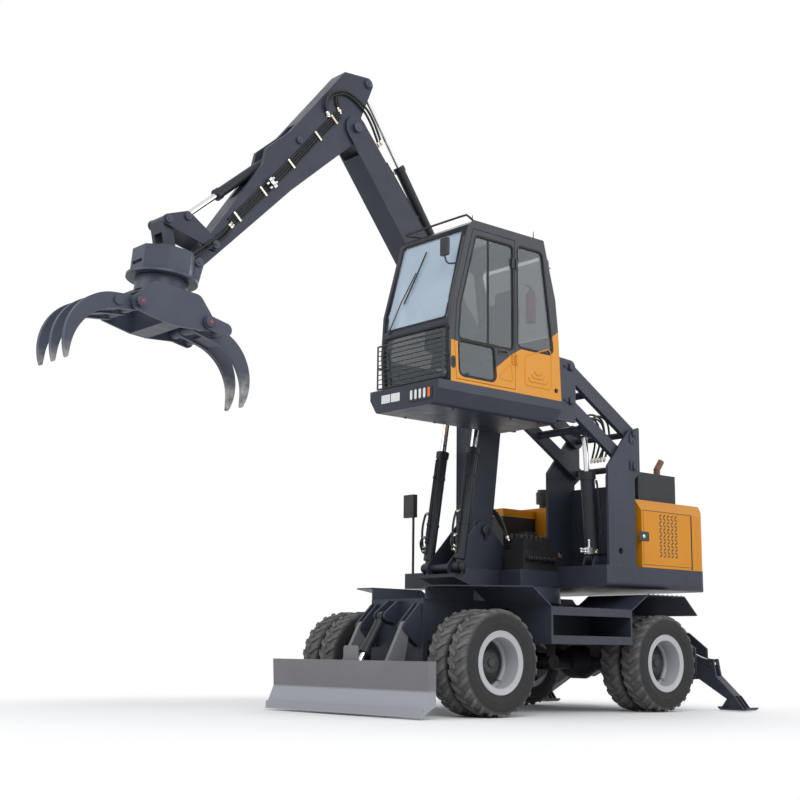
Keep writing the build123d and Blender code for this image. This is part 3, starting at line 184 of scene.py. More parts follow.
def make_lights():
    # columns: name, place, height that it is aimed at, width, power
    for name, place, height, width, power in (
        ("key", (6500, 9000, 9500), 2500, 7, 690),
        ("left_fill", (-5000, 9500, 6500), 2500, 8, 325),
        ("front_fill", (12000, -2500, 7000), 3000, 7, 325),
        ("back_fill", (-9000, -8000, 8000), 2500, 8, 325),
    ):
        data = bpy.data.lights.new(name, "AREA")
        data.shape = "RECTANGLE"
        data.size = width
        data.size_y = width
        data.energy = power
        light = bpy.data.objects.new(name, data)
        light.location = at(*place)
        light.rotation_euler = (at(0, 0, height) - at(*place)).to_track_quat("-Z", "Y").to_euler()
        bpy.context.scene.collection.objects.link(light)
    bpy.context.scene.view_settings.view_transform = "Standard"


def seen_directly(tree):
    """1 for camera, glossy and transmission rays, 0 for the light that falls on things."""
    path = put(tree, "LightPath").outputs
    either = maths(tree, "MAXIMUM", path["Is Camera Ray"], path["Is Transmission Ray"])
    return maths(tree, "MAXIMUM", either, path["Is Glossy Ray"])


def make_world():
    world = bpy.data.worlds.new("studio")
    bpy.context.scene.world = world
    world.use_nodes = True
    tree = world.node_tree
    tree.nodes.clear()
    lit = put(tree, "Background", {"Color": (0.93, 0.96, 1.0, 1), "Strength": 0.62})
    white = put(tree, "Background", {"Color": WHITE, "Strength": 1.0})
    mix = put(tree, "MixShader", {0: seen_directly(tree), 1: lit.outputs[0], 2: white.outputs[0]})
    put(tree, "OutputWorld", {"Surface": mix.outputs[0]})


def make_floor():
    material, tree, shader = new_material("studio_floor")
    noise = put(tree, "TexNoise", {"Scale": 3.0}).outputs["Fac"]
    bump = put(tree, "Bump", {"Strength": 0.02, "Height": noise})
    feed(tree, shader, {"Base Color": (0.86, 0.86, 0.86, 1), "Roughness": 0.9, "Specular IOR Level": 0.1,
                        "Normal": bump.outputs["Normal"]})
    # away from the machine the floor shows plain white, so that no horizon line is seen
    white = put(tree, "Emission", {"Color": WHITE, "Strength": 1.0})
    place = put(tree, "NewGeometry").outputs["Position"]
    distance = put(tree, "VectorMath", {0: place}, operation="LENGTH").outputs["Value"]
    fade = put(tree, "MapRange", {"From Min": 2.6, "From Max": 6.0, "Value": distance},
               interpolation_type="SMOOTHSTEP").outputs["Result"]
    share = times(tree, fade, seen_directly(tree))
    mix = put(tree, "MixShader", {0: share, 1: shader.outputs[0], 2: white.outputs[0]})
    feed(tree, tree.nodes["Material Output"], {"Surface": mix.outputs[0]})
    mesh = bpy.data.meshes.new("studio_floor")
    mesh.from_pydata([(x * FLOOR_REACH, y * FLOOR_REACH, 0) for x, y in ((-1, -1), (1, -1), (1, 1), (-1, 1))],
                     [], [(0, 1, 2, 3)])
    mesh.materials.append(material)
    floor = bpy.data.objects.new("studio_floor", mesh)
    bpy.context.scene.collection.objects.link(floor)


# ---------------------------------------------------------------- materials
DUST = (0.30, 0.27, 0.235)
DUST_TOP = 1.2
BARE_STEEL = (0.26, 0.25, 0.245)


def edge_wear(tree, amount):
    """Mask of worn outer edges, broken up by noise."""
    bevel = put(tree, "Bevel", {"Radius": 0.005}, samples=4).outputs["Normal"]
    facing = put(tree, "NewGeometry").outputs["Normal"]
    match = put(tree, "VectorMath", {0: bevel, 1: facing}, operation="DOT_PRODUCT")
    edge = ramp(tree, match.outputs["Value"], 0.9, 0.985, amount, 0.0)
    return times(tree, edge, ramp(tree, noise_of(tree, 9.0, 6.0), 0.5, 0.7))


def low_dust(tree, amount):
    """Mask of dust that thickens towards the ground."""
    split = put(tree, "SeparateXYZ", {0: own_place(tree)}).outputs
    height = ramp(tree, split["Z"], 0.0, DUST_TOP, amount, 0.0)
    return times(tree, height, ramp(tree, noise_of(tree, 5.0, 9.0, 0.7), 0.3, 0.9))


def finish_bump(tree, shader, scale, strength, distance):
    bump = put(tree, "Bump", {"Strength": strength, "Distance": distance,
                              "Height": noise_of(tree, scale, 3.0)})
    feed(tree, shader, {"Normal": bump.outputs["Normal"]})


def paint(name, colour, deep, rough=(0.36, 0.5), coat=0.04, worn=0.6, dust=0.18, peel=0.1, second=None):
    """Sprayed machine paint: slight colour drift, orange peel, dust low down, worn edges.

    second is (mask maker, colour): where the mask is 1 the second colour shows instead.
    """
    material, tree, shader = new_material(name)
    tone = mixed(tree, ramp(tree, noise_of(tree, 1.6, 5.0), 0.3, 0.7), colour, deep)
    if second:
        tone = mixed(tree, second[0](tree), tone, second[1])
    if dust > 0:
        tone = mixed(tree, low_dust(tree, dust), tone, DUST)
    if worn > 0:
        tone = mixed(tree, edge_wear(tree, worn), tone, BARE_STEEL)
    feed(tree, shader, {"Base Color": tone, "Coat Weight": coat, "Coat Roughness": 0.2,
                        "Roughness": ramp(tree, noise_of(tree, 6.0, 5.0), 0.3, 0.7, *rough),
                        "Specular IOR Level": 0.26})
    finish_bump(tree, shader, 260.0, peel, 0.0006)
    return material


def rubber(name, colour, dusty, rough=0.78, scale=160.0, tread=False):
    """Rubber with dust in its pores, which on a tyre lies on the tread and fades down the wall."""
    material, tree, shader = new_material(name)
    pores = noise_of(tree, 7.0, 8.0, 0.7)
    if tread:
        dust = times(tree, ramp(tree, pores, 0.2, 0.7, 0.25, 1.0), tread_mask(tree))
    else:
        dust = ramp(tree, pores, 0.42, 0.78, 0.0, 0.75)
    feed(tree, shader, {"Base Color": mixed(tree, dust, colour, dusty), "Specular IOR Level": 0.3,
                        "Roughness": ramp(tree, noise_of(tree, 30.0), 0.3, 0.7, rough - 0.08, rough + 0.1)})
    finish_bump(tree, shader, scale, 0.25, 0.001)
    return material


def metal(name, colour, rough, tint):
    material, tree, shader = new_material(name)
    stain = ramp(tree, noise_of(tree, 6.0, 7.0), 0.55, 0.8)
    feed(tree, shader, {"Base Color": mixed(tree, stain, colour, tint), "Metallic": 1.0,
                        "Roughness": ramp(tree, noise_of(tree, 40.0, 5.0), 0.3, 0.7, *rough)})
    finish_bump(tree, shader, 300.0, 0.05, 0.0004)
    return material


def plastic(name, colour, lighter, rough=(0.45, 0.6), scale=420.0):
    material, tree, shader = new_material(name)
    drift = ramp(tree, noise_of(tree, 5.0, 5.0), 0.35, 0.7)
    feed(tree, shader, {"Base Color": mixed(tree, drift, colour, lighter),
                        "Roughness": ramp(tree, noise_of(tree, 12.0), 0.3, 0.7, *rough)})
    finish_bump(tree, shader, scale, 0.15, 0.0004)
    return material


def glass(name, tint, clear):
    """Thin cab glass: part see-through, part mirror, faintly smeared. On the windscreen its pale tint is a
    painted reflection.
    """
    material, tree, shader = new_material(name)
    feed(tree, shader, {"Base Color": (*tint, 1), "Specular IOR Level": 0.7, "Alpha": 1 - clear,
                        "Roughness": ramp(tree, noise_of(tree, 8.0, 6.0), 0.35, 0.75, 0.03, 0.09)})
    return material


# upper edge of the cab's coloured lower panels, front to back: X, Z
PANEL_EDGE = (
    (311, 3912), (357, 3889), (485, 3797), (736, 3712), (969, 3589), (1053, 3541), (1219, 3414),
    (1405, 3294), (1632, 3270), (1677, 3445), (1767, 3563), (1889, 3577), (1911, 3577),
)
PANEL_LOW = 3200
PANEL_SPAN = 800
CAB_MIDDLE_Y = 0.6825
CAB_SIDE_REACH = 0.484
CAB_FRONT_CORNER_X = 1.876
CAB_REAR_CORNER_X = 0.352


def below_panel_edge(tree):
    """1 under the line PANEL_EDGE on the cab's outer sides and rear, 0 elsewhere."""
    x, y, z = layout_axes(tree)
    first = PANEL_EDGE[0][0]
    last = PANEL_EDGE[-1][0]
    curve = put(tree, "FloatCurve")
    line = curve.mapping.curves[0]
    places = [((px - first) / (last - first), (pz - PANEL_LOW) / PANEL_SPAN) for px, pz in PANEL_EDGE]
    line.points[0].location = places[0]
    line.points[1].location = places[-1]
    for place in places[1:-1]:
        line.points.new(*place)
    for point in line.points:
        point.handle_type = "VECTOR"
    curve.mapping.update()
    feed(tree, curve, {"Value": ramp(tree, x, first / 1000, last / 1000)})
    edge = add_to(tree, times(tree, curve.outputs["Value"], PANEL_SPAN / 1000), PANEL_LOW / 1000)
    under = maths(tree, "LESS_THAN", z, edge)
    across = maths(tree, "ABSOLUTE", add_to(tree, y, -CAB_MIDDLE_Y))
    side = times(tree, maths(tree, "GREATER_THAN", across, CAB_SIDE_REACH),
                 maths(tree, "LESS_THAN", x, CAB_FRONT_CORNER_X))
    rear = maths(tree, "LESS_THAN", x, CAB_REAR_CORNER_X)
    return times(tree, under, maths(tree, "MAXIMUM", side, rear))


def wheel_distance(tree):
    """Distance from the nearer wheel axis, in the plane of the wheel."""
    x, _, z = layout_axes(tree)
    ahead = add_to(tree, maths(tree, "ABSOLUTE", x), -HALF_WHEELBASE / 1000)
    up = add_to(tree, z, -TYRE_RADIUS / 1000)
    return maths(tree, "SQRT", add_to(tree, times(tree, ahead, ahead), times(tree, up, up)))


def dish_mask(tree):
    """1 inside the rim's bright flange, where the wheel's dish is dull and dark."""
    return ramp(tree, wheel_distance(tree), 0.215, 0.232, 1.0, 0.0)


def tread_mask(tree):
    """1 on the tread's lugs, fading out down the tyre's walls."""
    return ramp(tree, wheel_distance(tree), 0.452, 0.497, 0.06, 1.0)


def boom_side_shade_mask(tree):
    """Painted shade: 1 on the right body below its coloured top strip, on the side that faces the boom, where
    the shade is painted near black.
    """
    _, y, z = layout_axes(tree)
    return times(tree, maths(tree, "LESS_THAN", z, 2.15), maths(tree, "GREATER_THAN", y, -1.11))


def fade_up(tree, low, high):
    """1 below one height, 0 above the other."""
    return ramp(tree, layout_axes(tree)[2], low, high, 1.0, 0.0)


def blade_highlight_mask(tree):
    """Painted highlight: 1 on the lower part of the blade's face, which is turned up to the light and is
    painted lighter.
    """
    return fade_up(tree, 0.235, 0.262)


def tip_mask(tree):
    """1 on the ends of the tines, fading upwards."""
    return times(tree, fade_up(tree, 3.02, 3.2), ramp(tree, noise_of(tree, 12.0, 6.0), 0.3, 0.6))


def pipe_mask(tree):
    """1 above the silencer's box, where the tail pipe is bare."""
    above = maths(tree, "GREATER_THAN", layout_axes(tree)[2], 2.603)
    return times(tree, above, ramp(tree, noise_of(tree, 14.0, 8.0), 0.2, 0.4))


MADE = {}
CHARCOAL = ((0.032, 0.037, 0.055), (0.025, 0.029, 0.044))
YELLOW = ((0.57, 0.225, 0.007), (0.53, 0.205, 0.006))
GRAPPLE = ((0.054, 0.063, 0.090), (0.042, 0.049, 0.071))
YELLOW_GLOSS = {"rough": (0.32, 0.42), "worn": 0.0, "dust": 0.0, "peel": 0.05}


def make_materials():
    MADE.update({
        "steel": paint("charcoal_paint", *CHARCOAL),
        "dark": paint("dark_paint", (0.018, 0.020, 0.026), (0.013, 0.015, 0.020)),
        "orange": paint("yellow_paint", *YELLOW, **YELLOW_GLOSS),
        "cab": paint("cab_paint", (0.022, 0.026, 0.038), (0.018, 0.021, 0.031), rough=(0.25, 0.36),
                     coat=0.06, worn=0.0, dust=0.0, peel=0.05, second=(below_panel_edge, YELLOW[0])),
        "grapple": paint("grapple_paint", *GRAPPLE, worn=0.9, dust=0.0),
        "jaw": paint("jaw_paint", *GRAPPLE, worn=1.0, dust=0.0, second=(tip_mask, (0.34, 0.33, 0.32))),
        "silver": paint("rim_paint", (0.46, 0.47, 0.49), (0.40, 0.41, 0.43), rough=(0.3, 0.42), worn=0.0,
                        dust=0.3, second=(dish_mask, (0.017, 0.019, 0.022))),
        "hub": paint("hub_paint", (0.017, 0.018, 0.021), (0.024, 0.025, 0.028), worn=0.0, dust=0.3),
        # the right body's side that faces the boom is painted near black: painted shade
        "bay_with_painted_shade": paint("bay_paint_with_painted_shade", *YELLOW, **YELLOW_GLOSS, second=(boom_side_shade_mask, (0.020, 0.022, 0.026))),
        "silencer": paint("silencer_paint", (0.020, 0.021, 0.026), (0.015, 0.016, 0.020), worn=0.3,
                          dust=0.0, second=(pipe_mask, (0.15, 0.075, 0.048))),
        # the blade's lower face is painted lighter and bluer: a painted highlight
        "blade": paint("blade_paint_with_highlight", (0.172, 0.171, 0.182), (0.150, 0.149, 0.160), rough=(0.3, 0.42),
                       worn=1.0, dust=0.15, second=(blade_highlight_mask, (0.300, 0.310, 0.345))),
        "engine": paint("engine_black", (0.014, 0.014, 0.016), (0.028, 0.027, 0.027), worn=0.0, dust=0.0),
        "tyre": rubber("tyre_rubber", (0.020, 0.020, 0.021), (0.165, 0.161, 0.156), tread=True),
        "seal": rubber("seal_rubber", (0.010, 0.010, 0.011), (0.03, 0.03, 0.03), 0.6),
        "hose": rubber("hose_rubber", (0.010, 0.010, 0.011), (0.03, 0.029, 0.028), 0.42, 500.0),
        "chrome": metal("chromed_steel", (0.72, 0.73, 0.75), (0.06, 0.14), (0.5, 0.5, 0.5)),
        "zinc": metal("zinc_plate", (0.66, 0.63, 0.54), (0.25, 0.4), (0.50, 0.44, 0.28)),
        "bright": metal("bright_steel", (0.60, 0.61, 0.62), (0.22, 0.35), (0.35, 0.35, 0.35)),
        "mirror": metal("mirror_glass", (0.80, 0.82, 0.84), (0.02, 0.05), (0.7, 0.72, 0.74)),
        "glass": glass("cab_glass", (0.060, 0.080, 0.095), 0.5),
        # the windscreen's pale blue tint is a painted reflection
        "screen": glass("screen_glass_painted_reflection", (0.52, 0.64, 0.76), 0.42),
        "black": plastic("black_plastic", (0.013, 0.013, 0.014), (0.022, 0.022, 0.023)),
        "white": plastic("white_plate", (0.72, 0.73, 0.74), (0.62, 0.63, 0.64), (0.3, 0.45)),
        "red": plastic("red_enamel", (0.50, 0.02, 0.015), (0.40, 0.018, 0.012), (0.2, 0.3)),
        "amber": plastic("amber_lens", (0.85, 0.16, 0.01), (0.75, 0.13, 0.01), (0.1, 0.2)),
        "lens": plastic("lamp_lens", (0.80, 0.81, 0.80), (0.62, 0.63, 0.64), (0.08, 0.15)),
        "seat": plastic("seat_cloth", (0.025, 0.025, 0.028), (0.045, 0.045, 0.05), (0.8, 0.95), 900.0),
    })


# ---------------------------------------------------------------- CAD nodes' finishes
NODE_FINISH = {
    "engine_hood": "orange", "cab_shell": "cab", "cab_door": "cab", "engine": "engine", "right_bay": "bay_with_painted_shade",
    "window_guard": "black", "right_mirror": "black", "air_precleaner": "black", "cab_seat": "seat",
    "blade": "blade", "silencer": "silencer", "jaw_front": "jaw", "jaw_rear": "jaw",
    "grapple_body": "grapple", "grapple_bracket": "grapple",
}
# part of a node's name, finish: the first that fits is taken
NAMED_FINISH = (("tyres", "tyre"), ("rims", "silver"), ("_rod", "chrome"), ("barrel", "dark"),
                ("axle", "dark"), ("knuckle", "dark"), ("", "steel"))


def dress_nodes():
    for name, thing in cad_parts.items():
        finish = NODE_FINISH.get(name) or [finish for part, finish in NAMED_FINISH if part in name][0]
        thing.data.materials.clear()
        thing.data.materials.append(MADE[finish])


# ---------------------------------------------------------------- mesh tools
class Shape:
    """Mesh under construction, in layout millimetres."""

    def __init__(self):
        self.mesh = bmesh.new()

    def loft(self, rings, caps=True, index=0):
        """Skin over rings of layout points, each with as many points as the last."""
        rows = [[self.mesh.verts.new(at(*point)) for point in ring] for ring in rings]
        count = len(rows[0])
        for first, second in zip(rows, rows[1:]):
            for step in range(count):
                after = (step + 1) % count
                face = self.mesh.faces.new((first[step], first[after], second[after], second[step]))
                face.material_index = index
        for row in (rows[0], rows[-1]) if caps else ():
            self.mesh.faces.new(row).material_index = index

    def done(self, name, finishes, body, bevel=0.0, sharp=40.0):
        """Finished object that rides on a body, in one finish or in a list of them by face index."""
        bmesh.ops.remove_doubles(self.mesh, verts=self.mesh.verts, dist=1e-6)
        bmesh.ops.recalc_face_normals(self.mesh, faces=self.mesh.faces)
        data = bpy.data.meshes.new(name)
        self.mesh.to_mesh(data)
        self.mesh.free()
        for finish in [finishes] if isinstance(finishes, str) else finishes:
            data.materials.append(MADE[finish])
        thing = bpy.data.objects.new(name, data)
        bpy.context.scene.collection.objects.link(thing)
        data.polygons.foreach_set("use_smooth", [True] * len(data.polygons))
        data.set_sharp_from_angle(angle=math.radians(sharp))
        if bevel > 0:
            modifier = thing.modifiers.new("edges", "BEVEL")
            modifier.width = bevel / 1000
            modifier.segments = 2
            modifier.limit_method = "ANGLE"
            modifier.angle_limit = math.radians(sharp)
            modifier.harden_normals = False
        if body:
            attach(thing, body)
        return thing


def angles(count, shift=0.0):
    """A full turn in equal steps, which start a share of a step on."""
    return [2 * math.pi * (number + shift) / count for number in range(count)]


def rect(a0, b0, a1, b1, radius=0):
    """Rectangle between two corners, as an outline of (a, b, corner radius)."""
    return [(a0, b0, radius), (a1, b0, radius), (a1, b1, radius), (a0, b1, radius)]


def lift(points, axis, level):
    """Plane points (a, b) as layout points, at a value of the axis: 0 is X, 1 is Y and 2 is Z."""
    return [(*point[:axis], level, *point[axis:]) for point in points]


def rounded(outline, step=15.0):
    """Outline of (a, b, corner radius) as plain points, with arcs at its corners."""
    points = []
    count = len(outline)
    for index, (a, b, radius) in enumerate(outline):
        if radius <= 0:
            points.append((a, b))
            continue
        corner = Vector((a, b))
        back = (Vector(outline[index - 1][:2]) - corner).normalized()
        ahead = (Vector(outline[(index + 1) % count][:2]) - corner).normalized()
        half = back.angle(ahead) / 2
        reach = radius / math.tan(half)
        centre = corner + (back + ahead).normalized() * (radius / math.sin(half))
        start = corner + back * reach - centre
        turn = start.angle_signed(corner + ahead * reach - centre)
        steps = max(2, int(abs(math.degrees(turn)) / step))
        for number in range(steps + 1):
            angle = -turn * number / steps
            points.append((centre.x + start.x * math.cos(angle) - start.y * math.sin(angle),
                           centre.y + start.x * math.sin(angle) + start.y * math.cos(angle)))
    return points


def sheet(shape, points, axis, low, high, index=0):
    """Plate from plane points, between two values of an axis."""
    shape.loft([lift(points, axis, level) for level in (low, high)], index=index)


def prism(shape, outline, axis, low, high, index=0):
    """Plate with a rounded outline, between two values of an axis."""
    sheet(shape, rounded(outline), axis, low, high, index)


def slab(shape, low, high, index=0):
    """Plain block between two layout corners."""
    prism(shape, rect(*low[:2], *high[:2]), 2, low[2], high[2], index)


def frame_of(direction):
    """Two vectors square to a direction."""
    ahead = Vector(direction).normalized()
    side = ahead.orthogonal().normalized()
    if abs(ahead.z) < 0.999:
        side = Vector((0, 0, 1)).cross(ahead).normalized()
    return side, ahead.cross(side)


def circle(centre, side, up, radius, count, shift=0.0):
    """Points round a centre, in the plane of two vectors."""
    return [centre + (side * math.cos(angle) + up * math.sin(angle)) * radius
            for angle in angles(count, shift)]


def turned(shape, place, direction, profile, count=32, index=0, caps=True):
    """Profile of (distance along, radius) turned about a line."""
    side, up = frame_of(direction)
    ahead = Vector(direction).normalized()
    rings = [circle(Vector(place) + ahead * distance, side, up, max(radius, 0.01), count)
             for distance, radius in profile]
    shape.loft(rings, caps, index)


def smooth_line(points, parts=8):
    """Catmull-Rom line through layout points."""
    ends = [Vector(point) for point in points]
    ends = [2 * ends[0] - ends[1]] + ends + [2 * ends[-1] - ends[-2]]
    line = []
    for index in range(1, len(ends) - 2):
        a, b, c, d = ends[index - 1:index + 3]
        for part in range(parts):
            t = part / parts
            line.append(0.5 * ((2 * b) + (c - a) * t + (2 * a - 5 * b + 4 * c - d) * t * t
                               + (3 * b - a - 3 * c + d) * t * t * t))
    line.append(ends[-2])
    return line


def tube(shape, line, radius, count=10, index=0):
    """Round tube along a line of layout points, with the ring carried on without twist."""
    side, up = frame_of(line[1] - line[0])
    rings = []
    for number, point in enumerate(line):
        ahead = (line[min(len(line) - 1, number + 1)] - line[max(0, number - 1)]).normalized()
        side = (side - ahead * side.dot(ahead)).normalized()
        up = ahead.cross(side)
        rings.append(circle(point, side, up, radius, count))
    shape.loft(rings, index=index)


def closed_tube(shape, points, radius, flat=1.0, axis=1, count=8, index=0):
    """Ring of round section along a closed line that lies square to one axis."""
    normal = Vector((0, 0, 0))
    normal[axis] = flat
    rings = []
    for number, point in enumerate(points):
        ahead = (Vector(points[(number + 1) % len(points)]) - Vector(points[number - 1])).normalized()
        rings.append(circle(Vector(point), ahead.cross(normal).normalized(), normal, radius, count))
    shape.loft(rings + rings[:1], False, index)


def bolt(shape, place, direction, size, index=0):
    """Hexagon head on a washer."""
    turned(shape, place, direction, [(0, size * 1.15), (size * 0.22, size * 1.15)], 16, index)
    head = [(size * 0.22, size * 0.92), (size * 0.85, size * 0.92), (size * 0.95, size * 0.8)]
    turned(shape, place, direction, head, 6, index)


def hull_points(circles, grow=0.0, step=15.0):
    """Points round a convex row of circles (a, b, radius), as the CAD outlines are given."""
    normals = []
    for (a0, b0, r0), (a1, b1, r1) in zip(circles, circles[1:] + circles[:1]):
        run = Vector((a1 - a0, b1 - b0))
        share = (r0 - r1) / run.length
        ahead = run.normalized()
        across = Vector((ahead.y, -ahead.x))
        normals.append(ahead * share + across * math.sqrt(1 - share * share))
    points = []
    for index, (a, b, radius) in enumerate(circles):
        before = normals[index - 1]
        after = normals[index]
        start = math.atan2(before.y, before.x)
        turn = (math.atan2(after.y, after.x) - start) % (2 * math.pi)
        steps = max(1, round(math.degrees(turn) / step))
        for number in range(steps + 1):
            angle = start + turn * number / steps
            reach = radius + grow
            points.append((a + reach * math.cos(angle), b + reach * math.sin(angle)))
    return points


# ---------------------------------------------------------------- wheels
# name, axle x, side
WHEELS = (("front_left", HALF_WHEELBASE, 1), ("front_right", HALF_WHEELBASE, -1),
          ("rear_left", -HALF_WHEELBASE, 1), ("rear_right", -HALF_WHEELBASE, -1))


def wheel_point(axle_x, side, radius, outboard, angle):
    return (axle_x + radius * math.sin(angle), side * (DUAL_CENTRE_Y + outboard),
            TYRE_RADIUS + radius * math.cos(angle))


def tyre_carcass(shape, axle_x, side, centre):
    """Rounded casing from bead to bead, with a rim guard ring on each wall."""
    half = TYRE_HALF
    wall = [(263, half - 34), (296, half - 30), (304, half - 21), (316, half - 22), (345, half - 9),
            (372, half - 4), (378, half - 1), (384, half - 4), (415, half - 1), (440, half - 2),
            (460, half - 7), (TREAD_RADIUS - 9, half - 17), (TREAD_RADIUS, half - 36)]
    profile = [(radius, -width) for radius, width in wall]
    profile += [(radius, width) for radius, width in reversed(wall)]
    rings = [[wheel_point(axle_x, side, radius, centre + width, angle) for radius, width in profile]
             for angle in angles(72)]
    shape.loft(rings + rings[:1], caps=False)


def tyre_lug(shape, axle_x, side, centre, hand, start):
    """One herringbone lug: from the middle of the tread out over the shoulder."""
    # columns: distance from the middle, angle ahead of the start, half length, top radius, foot radius
    rows = [
        (5, 0.052, 0.040, TYRE_RADIUS - 1, TREAD_RADIUS - 6),
        (44, 0.030, 0.046, TYRE_RADIUS, TREAD_RADIUS - 6),
        (84, -0.008, 0.052, TYRE_RADIUS - 3, TREAD_RADIUS - 8),
        (108, -0.030, 0.056, TYRE_RADIUS - 12, TREAD_RADIUS - 18),
        (121, -0.040, 0.050, TYRE_RADIUS - 44, TREAD_RADIUS - 58),
    ]
    shape.loft([[wheel_point(axle_x, side, radius, centre + hand * width, start + lead * 1.6 + half * edge)
                 for radius, edge in ((foot, 1.15), (top, 0.86), (top, -0.86), (foot, -1.15))]
                for width, lead, half, top, foot in rows])


def make_tyres():
    pitch = 2 * math.pi / LUG_COUNT
    for name, axle_x, side in WHEELS:
        shape = Shape()
        for centre in (DUAL_OFFSET, -DUAL_OFFSET):
            tyre_carcass(shape, axle_x, side, centre)
            for number in range(LUG_COUNT):
                tyre_lug(shape, axle_x, side, centre, 1, number * pitch)
                tyre_lug(shape, axle_x, side, centre, -1, (number + 0.5) * pitch)
        thing = shape.done("tyre_pair_" + name, "tyre", "wheel_" + name, 2.0, 32)
        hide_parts("tyres_" + name)


def make_wheel_trim():
    """Wheel nuts, hub bolts, valve stems and the rim's bead rings."""
    for name, axle_x, side in WHEELS:
        out = Vector((0, side, 0))
        shape = Shape()
        for angle in angles(10, 0.5):
            bolt(shape, wheel_point(axle_x, side, 128, 62, angle), out, 13)
        for angle in angles(8):
            bolt(shape, wheel_point(axle_x, side, 76, 106, angle), out, 8)
        turned(shape, wheel_point(axle_x, side, 0, 107, 0), out, [(0, 44), (10, 44), (16, 38), (17, 30)], 24)
        shape.done("hub_bolts_" + name, "hub", "wheel_" + name, sharp=35)
        shape = Shape()
        for angle in (0.7, 0.7 + math.pi):
            start = Vector(wheel_point(axle_x, side, 205, 30, angle))
            end = Vector(wheel_point(axle_x, side, 226, 100, angle))
            tube(shape, [start, start.lerp(end, 0.8), end], 4.5, 8)
        for face, turn in ((243, 1), (-243, -1)):
            # columns: distance outboard, radius
            ring = [(face - 8 * turn, 240), (face - turn, 244), (face + turn, 250), (face + turn, 288),
                    (face + 6 * turn, 296), (face + 2 * turn, 303), (face - 6 * turn, 303)]
            turned(shape, wheel_point(axle_x, side, 0, 0, 0), out, ring, 72, caps=False)
        shape.done("rim_rings_" + name, "silver", "wheel_" + name, sharp=35)


# ---------------------------------------------------------------- cab
CAB_LEFT = 1190
CAB_RIGHT = 175
CAB_FRONT = ((3166, 1880), (3560, 1903), (3958, 1878), (4780, 1650))
DOOR_WINDOW = ((1060, 3640, 40), (1730, 3640, 40), (1705, 3940, 40), (1510, 4640, 40), (1060, 4640, 40))
DOOR_LOWER_WINDOW = ((1330, 3300, 60), (1700, 3300, 60), (1730, 3540, 40), (1330, 3540, 40))
REAR_WINDOW = ((500, 3700, 60), (890, 3700, 60), (890, 4640, 60), (640, 4640, 60))
RIGHT_WINDOW = ((500, 3560, 60), (1740, 3560, 60), (1560, 4640, 60), (640, 4640, 60))


def front_x(z):
    """The cab's front face at a height."""
    for (z0, x0), (z1, x1) in zip(CAB_FRONT, CAB_FRONT[1:]):
        if z <= z1:
            return x0 + (x1 - x0) * (z - z0) / (z1 - z0)
    return CAB_FRONT[-1][1]


def make_glass():
    # columns: name, body, outline, y of the pane's outer face
    for name, body, outline, y in (
        ("door_glass", "cab_door", DOOR_WINDOW, CAB_LEFT - 12),
        ("door_lower_glass", "cab_door", DOOR_LOWER_WINDOW, CAB_LEFT - 12),
        ("rear_side_glass", "cab", REAR_WINDOW, CAB_LEFT - 12),
        ("right_glass", "cab", RIGHT_WINDOW, CAB_RIGHT + 18),
    ):
        shape = Shape()
        sheet(shape, hull_points(outline, 4), 1, y - 6, y)
        shape.done(name, "glass", body)
        shape = Shape()
        face = CAB_LEFT if y > 600 else CAB_RIGHT
        closed_tube(shape, lift(hull_points(outline, 6), 1, face), 11, 0.3)
        closed_tube(shape, lift(hull_points(outline, -5), 1, y - 3), 9, 0.8)
        shape.done(name + "_seal", "seal", body)
    # sliding pane's upright in the door's upper window
    shape = Shape()
    slab(shape, (1352, CAB_LEFT - 26, 3606), (1376, CAB_LEFT - 8, 4676))
    shape.done("door_glass_upright", "seal", "cab_door", bevel=2)
    # windscreen and lower front pane, which follow the front face
    for name, levels, low, high in (
        ("windscreen", (3800, 3958, 4230, 4740), CAB_RIGHT + 62, CAB_LEFT - 62),
        ("lower_screen", (3206, 3560, 3728), CAB_RIGHT + 42, CAB_LEFT - 42),
    ):
        shape = Shape()
        rings = []
        for z in levels:
            x = front_x(z) - 16
            rings.append([(x, low, z), (x, high, z), (x - 6, high, z), (x - 6, low, z)])
        shape.loft(rings)
        # the windscreen takes the glass with the painted reflection
        shape.done(name, "screen" if name == "windscreen" else "glass", "cab", sharp=20)
        shape = Shape()
        outline = [(low, levels[0], 40), (high, levels[0], 40), (high, levels[-1], 45), (low, levels[-1], 45)]
        closed_tube(shape, [(front_x(z) + 1, y, z) for y, z in rounded(outline)], 13, 0.35, axis=0)
        shape.done(name + "_seal", "seal", "cab")
    # bar across the front between the two panes, with a bevelled face
    shape = Shape()
    rings = []
    for z in (3722, 3736, 3790, 3806):
        x = front_x(z) + (2 if 3730 < z < 3800 else -10)
        rings.append([(x - 40, CAB_RIGHT + 24, z), (x - 40, CAB_LEFT - 24, z), (x, CAB_LEFT - 24, z),
                      (x, CAB_RIGHT + 24, z)])
    shape.loft(rings)
    shape.done("front_cross_bar", "steel", "cab", bevel=4, sharp=20)
    shape = Shape()
    prism(shape, rect(CAB_RIGHT + 58, 3848, CAB_LEFT - 58, 4692, 50), 0, 415, 421)
    shape.done("rear_glass", "glass", "cab")
    shape = Shape()
    prism(shape, rect(896, CAB_RIGHT + 196, 1454, CAB_LEFT - 196), 2, 4822, 4830)
    shape.done("roof_hatch_glass", "glass", "cab")


# how far a cushion's sides pull in, 1 for not at all
PINCH = 0.82


def soft(value, power):
    """Sine or cosine drawn out towards a box: the lower the power, the squarer."""
    return math.copysign(abs(value) ** power, value)


